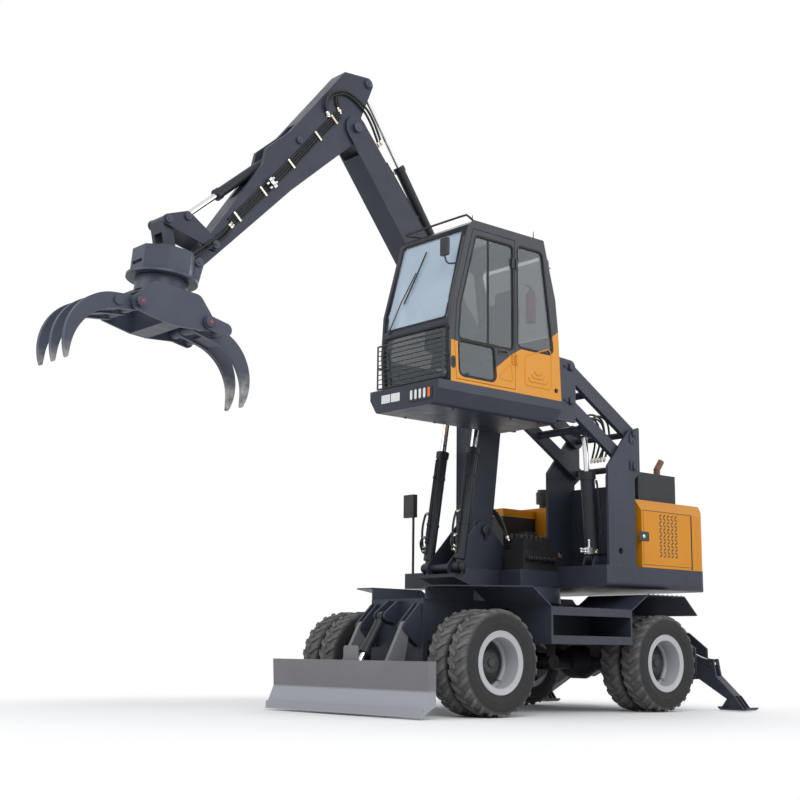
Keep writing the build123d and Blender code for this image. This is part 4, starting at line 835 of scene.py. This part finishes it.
def cushion(shape, centre, half, crown, lean=0, count=18):
    """Crowned pad: a soft box whose top swells and whose sides pull in between the corners."""
    turn = Matrix.Rotation(math.radians(lean), 3, "Y")
    rows = []
    for across in range(count + 1):
        polar = math.pi * across / count
        row = []
        for around in range(2 * count):
            angle = math.pi * around / count
            x = soft(math.sin(polar), 0.5) * soft(math.cos(angle), 0.32)
            y = soft(math.sin(polar), 0.5) * soft(math.sin(angle), 0.32)
            z = soft(math.cos(polar), 0.55)
            swell = 1 + crown * (1 - x * x) * (1 - y * y) * (1 if z > 0 else 0.3)
            pull = 1 - (1 - PINCH) * (1 - z * z) * 0.25 * (1 - abs(x * y))
            point = Vector((x * half[0] * pull, y * half[1] * pull, z * half[2] * swell))
            row.append(Vector(centre) + turn @ point)
        rows.append(row)
    shape.loft(rows)


def make_interior():
    mid = (CAB_LEFT + CAB_RIGHT) / 2
    shape = Shape()
    cushion(shape, (985, mid, 3622), (258, 232, 58), 0.30)
    cushion(shape, (698, mid, 3955), (300, 222, 50), 0.35, -99)
    cushion(shape, (616, mid, 4300), (78, 140, 42), 0.30, -97)
    for side in (1, -1):
        cushion(shape, (960, mid + side * 215, 3650), (230, 34, 52), 0.1)
        cushion(shape, (712, mid + side * 205, 3930), (262, 30, 58), 0.1, -99)
    seat = shape.done("driver_seat", "seat", "cab", sharp=60)
    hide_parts("cab_seat")
    # seat base with its bellows, and the consoles with their levers
    shape = Shape()
    for level in range(5):
        z = 3222 + level * 60
        reach = 190 if level % 2 else 205
        prism(shape, rect(945 - reach, mid - reach, 945 + reach, mid + reach, 30), 2, z, z + 60)
    shape.done("seat_bellows", "seal", "cab", bevel=6)
    shape = Shape()
    for side in (1, -1):
        y = mid + side * 318
        prism(shape, [(820, 3560, 20), (1290, 3500, 30), (1330, 3760, 40), (1180, 3800, 30), (820, 3740, 30)],
              1, y - 58, y + 58)
        lever = [(0, 46), (26, 34), (40, 14), (120, 12), (128, 24), (190, 26), (214, 20), (222, 4)]
        turned(shape, (1250, y, 3765), (0.1, 0, 1), lever, 20)
        rest = [(800, 3812, 12), (1130, 3812, 30), (1130, 3846, 20), (800, 3846, 12)]
        prism(shape, rest, 1, y - 40, y + 40)
    # steering column, dash pod, pedals, floor mat and the screen on the right
    tube(shape, smooth_line([(1650, mid, 3214), (1620, mid, 3500), (1530, mid, 3790)]), 34, 14)
    pod = [(1520, 3560, 20), (1690, 3590, 30), (1670, 3840, 30), (1530, 3780, 20)]
    prism(shape, pod, 1, mid - 90, mid + 90)
    for side in (1, -1):
        prism(shape, [(1640, 3216, 6), (1790, 3216, 6), (1790, 3236, 6), (1640, 3310, 6)], 1,
              mid + side * 180 - 45, mid + side * 180 + 45)
    prism(shape, rect(400, 3222, 1800, 3208), 1, CAB_RIGHT + 60, CAB_LEFT - 60)
    prism(shape, [(1600, CAB_RIGHT + 70, 6), (1650, CAB_RIGHT + 70, 6), (1670, CAB_RIGHT + 250, 6),
                  (1640, CAB_RIGHT + 260, 6)], 2, 3960, 4160)
    shape.done("cab_controls", "black", "cab", bevel=4)
    shape = Shape()
    centre = Vector((1520, mid, 3828))
    tilt = Vector((-0.42, 0, 0.9)).normalized()
    side, up = frame_of(tilt)
    rows = [circle(point, (point - centre).normalized(), tilt, 13, 8)
            for point in circle(centre, side, up, 185, 40)]
    shape.loft(rows + rows[:1], caps=False)
    for turn in (0.3, 2.4, 4.5):
        spoke = centre + (side * math.cos(turn) + up * math.sin(turn)) * 180
        tube(shape, [centre, centre.lerp(spoke, 0.5), spoke], 9, 8)
    turned(shape, centre - tilt * 30, tilt, [(0, 30), (34, 42), (44, 36), (46, 10)], 20)
    shape.done("steering_wheel", "black", "cab")
    # fire extinguisher behind the rear side window
    shape = Shape()
    bottle = [(0, 40), (6, 50), (14, 52), (290, 52), (320, 44), (342, 22), (352, 16)]
    turned(shape, (640, 1075, 3960), (0, 0, 1), bottle, 28)
    turned(shape, (640, 1075, 4312), (0, 0, 1), [(0, 16), (26, 16), (30, 10)], 12, 1)
    prism(shape, [(628, 4340, 3), (720, 4352, 3), (720, 4362, 3), (628, 4352, 3)], 1, 1067, 1083, 1)
    tube(shape, smooth_line([(600, 1075, 4330), (580, 1075, 4250), (585, 1075, 4080)]), 8, 8, 1)
    shape.done("extinguisher", ["red", "black"], "cab", bevel=1)


SKIRT_FRONT_X = 2037
# middle of the round-ended vent: X, Z
VENT = (1845, 3354)


def make_cab_trim():
    front = SKIRT_FRONT_X
    # lamp lenses, the last one amber, in their dark housing
    shape = Shape()
    prism(shape, rect(778, 2985, 1100, 3112, 14), 0, front - 2, front + 8, 2)
    for index in range(5):
        y = 812 + 63 * index
        lens = rect(y - 16, 3002, y + 16, 3098, 15)
        prism(shape, lens, 0, front + 4, front + 15, 1 if index == 4 else 0)
        closed_tube(shape, lift(rounded(lens), 0, front + 9), 4, 0.8, axis=0, index=2)
    shape.done("front_lamps", ["lens", "amber", "black"], "cab", bevel=1.5)
    shape = Shape()
    for low in (352, 496):
        prism(shape, rect(low, 3022, low + 132, 3106, 8), 0, front - 1, front + 1.5)
        for y in (low + 12, low + 120):
            bolt(shape, (front + 1.5, y, 3064), (1, 0, 0), 4)
    shape.done("blank_plates", "white", "cab", bevel=0.5)
    # pressed ribs on the lower panels: nested rings, open from the second one on, and a small triangle
    for face, turn in ((CAB_LEFT, 1), (CAB_RIGHT, -1)):
        name = "left" if turn > 0 else "right"
        shape = Shape()
        for inset in (0, 52, 98, 140):
            outline = [(462 + inset, 3263 + inset * 0.9, 40), (850 - inset, 3263 + inset * 0.9, 40),
                       (850 - inset, 3560 - inset * 0.6, 50), (462 + inset, 3700 - inset * 0.9, 50)]
            points = lift(rounded(outline), 1, face - turn)
            if inset:
                tube(shape, [Vector(point) for point in points[:len(points) // 2 + 1]], 7, 8)
            else:
                closed_tube(shape, points, 7, 0.8)
        corner = rounded([(1030, 3273, 20), (1240, 3282, 20), (1050, 3460, 25)])
        closed_tube(shape, lift(corner, 1, face - turn), 6, 0.8)
        shape.done("panel_ribs_" + name, "orange", "cab", sharp=60)
    # bolts of the side panels, the door's hinges and the front
    shape = Shape()
    # columns: x, z, size
    for x, z, size in ((392, 3265, 20), (1650, 3262, 11), (470, 4560, 7), (940, 4560, 7), (940, 3900, 7)):
        bolt(shape, (x, CAB_LEFT, z), (0, 1, 0), size)
    for z in (3500, 4500):
        for step in (-28, 0, 28):
            bolt(shape, (1018, CAB_LEFT + 9, z + step), (0, 1, 0), 6)
    for z in (3300, 3420):
        bolt(shape, (front_x(z), 1125, z), (1, 0, 0), 9)
    shape.done("cab_bolts", "black", "cab", sharp=35)
    shape = Shape()
    x, middle = VENT
    vent = [(x, middle - 32, 21), (x, middle + 32, 21)]
    closed_tube(shape, lift(hull_points(vent, 3), 1, CAB_LEFT - 1), 7, 0.7)
    sheet(shape, hull_points(vent), 1, CAB_LEFT - 3, CAB_LEFT + 2)
    for step in range(-4, 5):
        half = math.sqrt(1 - (step / 5.2) ** 2) * 18
        z = middle + step * 9
        slab(shape, (x - half, CAB_LEFT + 1, z - 2), (x + half, CAB_LEFT + 6, z + 2))
    shape.done("side_vent", "black", "cab", bevel=1)
    # door handle
    shape = Shape()
    prism(shape, rect(1106, 3586, 1236, 3520, 8), 1, CAB_LEFT - 1, CAB_LEFT + 5)
    tube(shape, smooth_line([(1118, CAB_LEFT + 5, 3556), (1146, CAB_LEFT + 24, 3560),
                             (1196, CAB_LEFT + 24, 3558), (1224, CAB_LEFT + 6, 3546)]), 8, 10)
    shape.done("door_handle", "black", "cab_door", bevel=2)
    # wiper on the windscreen
    shape = Shape()
    line = [Vector((front_x(z) + 16, y, z)) for y, z in ((300, 3790), (430, 4080), (560, 4380))]
    tube(shape, line, 6, 8)
    line = [Vector((front_x(z) + 7, y, z)) for y, z in ((470, 4060), (560, 4330), (640, 4600))]
    tube(shape, line, 8, 6)
    turned(shape, (front_x(3785) - 4, 296, 3785), (1, 0, 0), [(0, 20), (24, 16), (28, 8)], 16)
    shape.done("wiper", "black", "cab")
    # left mirror on its bent arm
    shape = Shape()
    tube(shape, smooth_line([(1745, 1178, 4352), (1800, 1172, 4352), (1880, 1150, 4340), (1895, 1120, 4400),
                             (1895, 1115, 4500)]), 9, 10)
    prism(shape, rect(1062, 4420, 1172, 4600, 16), 0, 1882, 1912)
    prism(shape, rect(1074, 4434, 1160, 4588, 14), 0, 1880, 1883, 1)
    shape.done("left_mirror", ["black", "mirror"], "cab", bevel=4, sharp=35)
    # rail over the roof, and the grab tube down the front pillar
    shape = Shape()
    z = 4886
    tube(shape, smooth_line([(1440, 300, 4838), (1440, 300, 4876), (1470, 292, z), (1610, 230, z),
                             (1640, 250, z), (1645, 500, z), (1645, 850, z), (1640, 1120, z),
                             (1610, 1140, z), (1470, 1072, z), (1440, 1066, 4876),
                             (1440, 1066, 4838)]), 11, 10)
    tube(shape, smooth_line([(1688, 1180, 4640), (1716, 1198, 4634), (1745, 1206, 4560), (1900, 1206, 3980),
                             (1925, 1206, 3740), (1918, 1198, 3690), (1898, 1180, 3682)]), 11, 10)
    shape.done("roof_rail", "black", "cab")
    shape = Shape()
    prism(shape, rect(-1180, 2122, -1020, 2358, 14), 0, 329, 326)
    shape.done("right_mirror_glass", "mirror", "upper")
    shape = Shape()
    # columns: x, y, height
    for x, y, height in ((1500, 1095, 77), (640, 1120, 87), (430, 1000, 57)):
        turned(shape, (x, y, 4848), (0, 0, 1), [(0, 17), (12, 15), (16, 6), (height, 4), (height + 4, 1)], 10)
    shape.done("roof_antennas", "black", "cab")
    # bolts under the cab's skirt
    shape = Shape()
    for x in (500, 900, 1300, 1700):
        for y in (330, 1030):
            bolt(shape, (x, y, 2931), (0, 0, -1), 11)
    shape.done("skirt_bolts", "dark", "cab", sharp=35)


# ---------------------------------------------------------------- upper structure
HOOD_LEFT = 1115
# turned profiles: distance along, radius
ROUND_CAP = ((0, 36), (3, 40), (12, 40), (16, 34), (17, 14))
WIDE_CAP = ((0, 36), (3, 42), (12, 42), (16, 34), (17, 14))


def make_hood_trim():
    face = HOOD_LEFT
    # seams round the hood's side door
    shape = Shape()
    # columns: low x, low z, high x, high z
    for x0, z0, x1, z1 in ((-1925, 1540, -1909, 2145), (-1909, 2150, -1060, 2150),
                           (-1900, 1560, -1060, 1560), (-1070, 1560, -1070, 2150)):
        slab(shape, (x0 - 2.5, face - 1, z0 - 2.5), (x1 + 2.5, face + 0.6, z1 + 2.5))
    shape.done("hood_seams", "seal", "upper")
    # rows of slanted air slots, which lean to and fro by turns
    shape = Shape()
    for row in range(13):
        lean = 17 if row % 2 else -17
        z = 1652 + row * 37
        for column in range(5):
            x = -1634 + column * 68
            slot = [(x - 17 - lean, z, 3), (x + 7 - lean, z, 3), (x + 7 + lean, z + 27, 3),
                    (x - 17 + lean, z + 27, 3)]
            prism(shape, slot, 1, face - 3, face + 0.8)
    shape.done("hood_air_slots", "black", "upper")
    shape = Shape()
    for level in range(6):
        turned(shape, (-1330, -600, 2368 + 22 * level), (0, 0, 1), [(0, 87), (3, 91), (8, 91), (11, 87)], 40)
    shape.done("precleaner_ribs", "black", "upper")
    # valve block with its spools and plugs, on a shelf in front of the hood
    shape = Shape()
    slab(shape, (-455, 104, 1300), (130, 420, 1480))
    shape.done("valve_shelf", "steel", "upper", bevel=6)
    shape = Shape()
    slab(shape, (-420, 110, 1480), (60, 400, 1691))
    slab(shape, (-390, 140, 1686), (10, 360, 1821))
    for index in range(6):
        x = -372 + 76 * index
        spool = [(0, 27), (54, 27), (58, 22), (58, 19), (78, 19), (80, 12)]
        turned(shape, (x, 398, 1601), (0, 1, 0), spool, 20)
        turned(shape, (x + 20, 190, 1816), (0, 0, 1), [(0, 20), (52, 20), (57, 14)], 6)
        turned(shape, (x - 14, 300, 1816), (0, 0, 1), [(0, 24), (36, 24), (42, 18)], 16)
    prism(shape, rect(-300, 160, -120, 260, 8), 2, 1816, 1901)
    shape.done("valve_block", "engine", "upper", bevel=4, sharp=35)
    shape = Shape()
    lock = rect(-1152, 1818, -988, 1910, 10)
    prism(shape, lock, 1, face - 2, face + 5)
    closed_tube(shape, lift(rounded(lock), 1, face + 5), 5, 0.8)
    turned(shape, (-1070, face + 4, 1864), (0, 1, 0), [(0, 22), (6, 20), (8, 12), (10, 3)], 24, 1)
    shape.done("hood_lock", ["black", "bright"], "upper", bevel=2)
    # riser keepers with their bolts, and pin caps, on the outer plate
    shape = Shape()
    for z in (2920, 2627):
        keeper = [(-950, z - 62, 10), (-860, z - 52, 10), (-860, z + 48, 20), (-950, z + 58, 20)]
        prism(shape, keeper, 1, 1114, 1127)
        for step in (-34, 34):
            bolt(shape, (-905, 1127, z + step), (0, 1, 0), 10)
    for z in (2609, 2974):
        turned(shape, (-931, 1128, z), (0, 1, 0), ROUND_CAP, 28)
    shape.done("riser_keepers", "steel", "upper", bevel=2, sharp=35)
    shape = Shape()
    for z in (3206, 3571):
        turned(shape, (79, 1128, z), (0, 1, 0), WIDE_CAP, 28)
        prism(shape, rect(99, z - 14, 189, z + 14, 4), 1, 1114, 1124)
        bolt(shape, (169, 1124, z), (0, 1, 0), 10)
    shape.done("cab_link_pins", "steel", "cab", bevel=2, sharp=35)
    # pins of the boom foot and the boom cylinders, each with its keeper plate
    shape = Shape()
    for (x, z), reach, radius in ((BOOM_FOOT, 192, 56), (CYLINDER_FOOT, 292, 48)):
        for side in (1, -1):
            turned(shape, (x, BOOM_Y + side * reach, z), (0, side, 0),
                   [(0, radius - 8), (2, radius), (12, radius), (17, radius - 8), (18, radius * 0.4)], 28)
            low, high = sorted((BOOM_Y + side * (reach - 4), BOOM_Y + side * (reach + 8)))
            prism(shape, rect(x - 12, z - 100, x + 12, z - 30, 4), 1, low, high)
    shape.done("foot_pin_heads", "dark", "upper", bevel=1.5, sharp=35)


def fitting(shape, start, direction, radius, index=0):
    """Crimped hose end with its hexagon nut."""
    turned(shape, start, direction, [(0, radius * 1.25), (radius * 0.8, radius * 1.25)], 6, index)
    crimp = [(0, 0.9), (0.6, 1.3), (3.2, 1.3), (3.6, 1)]
    turned(shape, Vector(start) + Vector(direction).normalized() * radius * 0.8, direction,
           [(distance * radius, share * radius) for distance, share in crimp], 14, index)


def hose(name, line, radius, body, other=None):
    """Stiff hydraulic hose with a crimped fitting on each end.

    Between a body and another it rides on neither: its place is baked into its mesh.
    """
    points = smooth_line(line, 10)
    shape = Shape()
    tube(shape, points, radius, 10)
    fitting(shape, points[0], points[1] - points[0], radius, 1)
    fitting(shape, points[-1], points[-2] - points[-1], radius, 1)
    thing = shape.done(name, ["hose", "zinc"], None if other else body)
    if other:
        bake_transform(thing)


# the boom's outline at its two ends, as the CAD gives it
TIP_RADIUS = 133
ELBOW = (440, 3500)
ELBOW_RADIUS = 500


def make_pipes():
    """Hydraulic pipes held by clamps along the boom and the arm."""
    tip = Vector((BOOM_TIP[0], 0, BOOM_TIP[1]))
    run = Vector((ELBOW[0], 0, ELBOW[1])) - tip
    share = (TIP_RADIUS - ELBOW_RADIUS) / run.length
    side = math.sqrt(1 - share * share)
    ahead = run.normalized()
    out = Vector((ahead.x * share + ahead.z * side, 0, ahead.z * share - ahead.x * side))

    def spot(part, gap):
        """Point on the boom's rear edge at a part of the way down, plus a gap."""
        return tip + run * part + out * (TIP_RADIUS + (ELBOW_RADIUS - TIP_RADIUS) * part + gap)

    shape = Shape()
    for sign in (1, -1):
        for reach in (117, 136):
            step = Vector((0, BOOM_Y + sign * reach, 0))
            tube(shape, [spot(0.16, 13) + step, spot(0.5, 13) + step, spot(0.93, 13) + step], 8, 10)
        for part in (0.2, 0.38, 0.56, 0.74, 0.9):
            places = (spot(part, 0), spot(part + 0.012, 0), spot(part + 0.012, 25), spot(part, 25))
            y = BOOM_Y + sign * 126.5
            sheet(shape, [(place.x, place.z) for place in places], 1, y - 19, y + 19, 1)
    shape.done("boom_pipes", ["hose", "dark"], "boom", bevel=1, sharp=35)
    # columns: x, z, step across to the next pipe in x, in z
    route = ((2345, 6115, 16, 20), (2640, 5780, 16, 20), (2985, 5370, 20, 17), (3640, 4640, 22, 16))
    shape = Shape()
    for index in (-1.5, -0.5, 0.5, 1.5):
        line = [Vector((x + step_x * index, -25, z + step_z * index)) for x, z, step_x, step_z in route]
        tube(shape, smooth_line(line, 6), 8, 10)
    shape.done("arm_pipes", "hose", "arm")


def make_hoses():
    # over the boom's tip, from the pipes on its rear edge to the pipes on the arm
    for index, y in enumerate((-33, -14)):
        shift = index * 22
        line = [(1790 - shift, y, 5895 + shift), (1905 - shift, y + 4, 6105 + shift),
                (2030 - shift, y + 14, 6240 + shift), (2190, y + 20, 6330 + shift),
                (2330 + shift, y + 22, 6340 + shift), (2480 + shift, y + 20, 6250 + shift),
                (2520 + shift, y + 14, 6130 + shift), (2478 + shift, -24, 6040)]
        hose(f"tip_hose_{index + 1}", line, 13, "boom", "arm")
    # across the boom's tip, from its right side to the arm's left side
    y = -24
    # columns: y of the start, x and z of the end
    for index, (first, x, z) in enumerate(((-267, 2335, 6135), (-286, 2312, 6118))):
        line = [(1770 - index * 20, first, 5870), (1900 - index * 20, -200, 6120), (2060, -120, 6330),
                (2230, -70, 6400), (2370, -30, 6350), (2400 - index * 30, -20, 6240), (x + 20, y, z)]
        hose(f"cross_hose_{index + 1}", line, 11, "boom", "arm")
    # bolted clamp bars over the arm's pipes
    shape = Shape()
    # columns: x, z, direction along the pipes in x, z
    for x, z, ux, uz in ((2419, 6031, 0.66, -0.75), (2622, 5795, 0.65, -0.76), (2950, 5411, 0.65, -0.76),
                         (3280, 5042, 0.67, -0.745), (3574, 4714, 0.67, -0.745)):
        for step in (-31, 0, 31):
            bolt(shape, (x - uz * step, -15, z + ux * step), (0, 1, 0), 6)
        corners = []
        for ahead, across in ((-11, -56), (11, -56), (11, 56), (-11, 56)):
            corners.append((x + ux * ahead - uz * across, z + uz * ahead + ux * across, 4))
        prism(shape, corners, 1, -20, -13)
    shape.done("arm_clamps", "zinc", "arm", bevel=1.5, sharp=35)
    # pair of bright valves on the arm's left side
    shape = Shape()
    for step in (-26, 26):
        x = 3185 + step * 0.75
        z = 5150 + step * 0.66
        body = [(x - 34, z - 10, 5), (x - 4, z - 40, 5), (x + 34, z + 2, 5), (x + 4, z + 34, 5)]
        prism(shape, body, 1, -18, 16)
        turned(shape, (x - 36, 0, z + 40), (0.66, 0, -0.75), [(0, 9), (4, 13), (22, 13), (26, 10)], 12)
        turned(shape, (x + 24, 0, z - 28), (0.66, 0, -0.75), [(0, 10), (4, 14), (26, 14), (34, 9)], 12)
        turned(shape, (x, 14, z), (0, 1, 0), [(0, 14), (10, 14), (12, 8), (20, 8), (22, 3)], 12)
    shape.done("arm_valve", "bright", "arm", bevel=1.5, sharp=35)
    # on to the rotator
    for index, step in enumerate((-14, 14)):
        line = [(3622 + step * 0.8, -25, 4632 + step * 0.6), (3720 + step, -14, 4505 + step),
                (3850 + step, 12, 4390 + step), (3990 + step, 22, 4275 + step),
                (4120 + step, 10, 4170 + step), (4205, -8 + step, 4120 + step * 0.5)]
        hose(f"rotator_hose_{index + 1}", line, 12, "arm", "grapple_bracket")
    # boom foot: from the valve block to the boom's rear edge
    for index in range(4):
        y = -40 - 22 * index
        line = [(30 - 12 * index, 150 - 10 * index, 1800), (60, 90 - 16 * index, 1990),
                (100, 20 - 18 * index, 2120), (150, y - 20, 2150 + 16 * index),
                (205 - 6 * index, y - 30, 2060 + 20 * index)]
        hose(f"foot_hose_{index + 1}", line, 13, "upper", "boom")
    # cab lift: a bunch of loops where the links meet the riser
    for index in range(5):
        y = 560 + 46 * index
        rise = 26 * (index % 3)
        line = [(-870, y, 2700), (-930 - rise, y + 6, 2930), (-900 - rise, y + 10, 3110 + rise),
                (-790, y + 12, 3170 + rise), (-690 + rise, y + 8, 3120 + rise), (-640, y + 2, 3060)]
        hose(f"lift_hose_{index + 1}", line, 12, "upper", "lift_link_upper")
    # lift cylinder: side pipe, bright valve block and a hose at its foot
    shape = Shape()
    line = smooth_line([(-548, 940, 1850), (-556, 962, 1920), (-500, 962, 2350), (-496, 948, 2440)], 8)
    tube(shape, line, 11, 10)
    fitting(shape, line[0], line[1] - line[0], 10)
    fitting(shape, line[-1], line[-2] - line[-1], 10)
    shape.done("lift_pipe", "dark", "lift_barrel")
    shape = Shape()
    slab(shape, (-430, 905, 1640), (-330, 965, 1712))
    union = [(0, 12), (4, 15), (20, 15), (24, 11), (60, 11), (62, 14), (84, 14), (88, 6)]
    # columns: x, z, direction out of the block in x, z
    for x, z, ux, uz in ((-330, 1690, 1, 0), (-330, 1662, 1, 0), (-380, 1712, 0, 1),
                         (-430, 1690, -1, 0), (-430, 1662, -1, 0)):
        turned(shape, (x, 935, z), (ux, 0, uz), union, 12)
    shape.done("lift_valve", "bright", "upper", bevel=3, sharp=35)
    line = [(-450, 935, 1676), (-560, 950, 1650), (-650, 960, 1665), (-690, 960, 1760), (-686, 960, 1860)]
    hose("lift_foot_hose", line, 15, "upper")
    # boom cylinders: a pipe and two bands on each barrel, its gland with bolts, and two looped hoses
    for side, hand in ((1, "left"), (-1, "right")):
        y = BOOM_Y + side * 240
        base = Vector((CYLINDER_FOOT[0], y, CYLINDER_FOOT[1]))
        eye = Vector((365, y, 3660))
        ahead = (eye - base).normalized()
        out = Vector((ahead.z, 0, -ahead.x))
        shape = Shape()
        line = [base + ahead * distance + out * gap for distance, gap in
                ((250, 66), (280, 78), (330, 80), (1120, 80), (1180, 78), (1215, 62))]
        tube(shape, smooth_line(line, 4), 10, 10)
        for distance in (470, 1000):
            point = base + ahead * distance
            turned(shape, point - ahead * 12, ahead, [(0, 62), (1, 66), (23, 66), (24, 62)], 32)
            lug = point + out * 66
            slab(shape, lug - Vector((12, 14, 14)), lug + Vector((22, 14, 14)))
        turned(shape, base + ahead * 1268, ahead, [(0, 64), (3, 72), (30, 72), (36, 60)], 32)
        for place in circle(base + ahead * 1300, *frame_of(ahead), 54, 8):
            bolt(shape, place, ahead, 7)
        shape.done("boom_cylinder_pipe_" + hand, "dark", "boom_barrels", sharp=35)
        for number in range(2):
            start = base + ahead * (330 + 260 * number) + out * 84
            end = base + ahead * (150 + 45 * number) + out * 66
            line = [start, start + out * 48 - ahead * 30, start.lerp(end, 0.5) + out * 74,
                    end + out * 46 + ahead * 20, end]
            hose(f"boom_cylinder_hose_{hand}_{number + 1}", line, 13, "boom_barrels")


# ---------------------------------------------------------------- arm, boom and grapple trim
def make_front_trim():
    # columns: name, body, x, z, half width, radius
    for name, body, x, z, half, radius in (
        ("boom_tip", "boom", *BOOM_TIP, 175, 52),
        ("rod_pin", "arm", 1962, 6562, 130, 40),
        ("tilt_base", "arm", 2850, 5690, 127, 36),
        ("rocker", "tilt_rocker", 3819, 4375, 157, 40),
        ("link_top", "tilt_rocker", 4338, 4515, 157, 38),
        ("tilt_rod", "tilt_rocker", 4132, 4587, 157, 38),
        ("bracket_link", "grapple_bracket", 4269, 4214, 157, 40),
        ("arm_tip", "grapple_bracket", 4003, 4164, 157, 42),
    ):
        shape = Shape()
        for side in (1, -1):
            turned(shape, (x, BOOM_Y + side * half, z), (0, side, 0),
                   [(0, radius - 4), (2, radius), (9, radius), (13, radius - 5), (14, radius * 0.45),
                    (20, radius * 0.42), (22, radius * 0.2)], 28)
        shape.done(name + "_caps", "grapple", body, sharp=35)
    lean = Matrix.Rotation(-ROTATOR_LEAN, 3, "Y")

    def hung(x, y, z):
        """Layout point of a place that is given from the rotator's axis and leans with it."""
        return Vector((ROTATOR[0], BOOM_Y, ROTATOR[1])) + lean @ Vector((x, y, z))

    # pins of the jaws with red end caps, on the grapple's body
    shape = Shape()
    for x in (361, -361):
        for side in (1, -1):
            out = lean @ Vector((0, side, 0))
            turned(shape, hung(x, side * 351, -361), out,
                   [(0, 40), (2, 50), (11, 50), (15, 44), (16, 16)], 28)
            turned(shape, hung(x, side * 367, -361), out, [(0, 15), (3, 14), (5, 8)], 12, 1)
    shape.done("jaw_pin_caps", ["grapple", "red"], "grapple_body", sharp=35)
    # bolts on the rotator's flange
    shape = Shape()
    for angle in angles(16):
        bolt(shape, hung(290 * math.cos(angle), 290 * math.sin(angle), 24), lean @ Vector((0, 0, 1)), 13)
    shape.done("rotator_bolts", "dark", "grapple_bracket", sharp=35)


STABILIZER_X = -2215
PIN_CAP = ((0, 34), (3, 38), (10, 38), (13, 30))
# slewing ring: X of its axis, radius of its bolt circle
RING = (-150, 515)
BLADE_FACE_X = 2222


def make_base_trim():
    # caps on the stabilizers' pins, on the rear and on the front
    for side, name in ((1, "left"), (-1, "right")):
        shape = Shape()
        for y, z in ((880, 480), (350, 800)):
            for reach, ahead in ((-121, -1), (136, 1)):
                turned(shape, (STABILIZER_X + reach, side * y, z), (ahead, 0, 0), PIN_CAP, 24)
        shape.done("outrigger_caps_" + name, "dark", "chassis", sharp=35)
    # deck: the step's tread bars, and bolts along the fender flanges
    shape = Shape()
    for side in (1, -1):
        for number in range(9):
            x = -640 + 140 * number
            if x < 520:
                low, high = sorted((side * 690, side * 1218))
                slab(shape, (x, low, 1062), (x + 60, high, 1066))
        for number in range(8):
            bolt(shape, (-1560 + 80 * number, side * 1222, 1232), (0, 0, 1), 8)
    shape.done("deck_tread", "steel", "chassis", bevel=1, sharp=35)
    # slewing ring bolts
    shape = Shape()
    middle, radius = RING
    for angle in angles(36):
        bolt(shape, (middle + radius * math.cos(angle), radius * math.sin(angle), 1130), (0, 0, 1), 12)
    shape.done("ring_bolts", "dark", "chassis", sharp=35)
    # blade: bolted cutting edge and the guard plate over its cylinder's foot
    shape = Shape()
    for number in range(16):
        y = -1140 + 152 * number
        turned(shape, (BLADE_FACE_X, y, 56), (0.97, 0, 0.22), [(0, 13), (3, 12), (4, 5)], 12)
    slab(shape, (BLADE_FACE_X, -1202, 24), (BLADE_FACE_X + 14, 1202, 96))
    shape.done("blade_bolts", "blade", "blade", bevel=2, sharp=35)
    shape = Shape()
    prism(shape, [(-115, 440, 18), (115, 440, 18), (115, 660, 30), (-115, 660, 30)], 0, 2084, 2092)
    shape.done("blade_guard", "blade", "blade", bevel=3)


# ---------------------------------------------------------------- the scene
def main():
    make_camera()
    make_world()
    make_lights()
    make_floor()
    make_materials()
    dress_nodes()
    make_tyres()
    make_wheel_trim()
    make_glass()
    make_interior()
    make_cab_trim()
    make_hood_trim()
    make_pipes()
    make_hoses()
    make_front_trim()
    make_base_trim()


main()
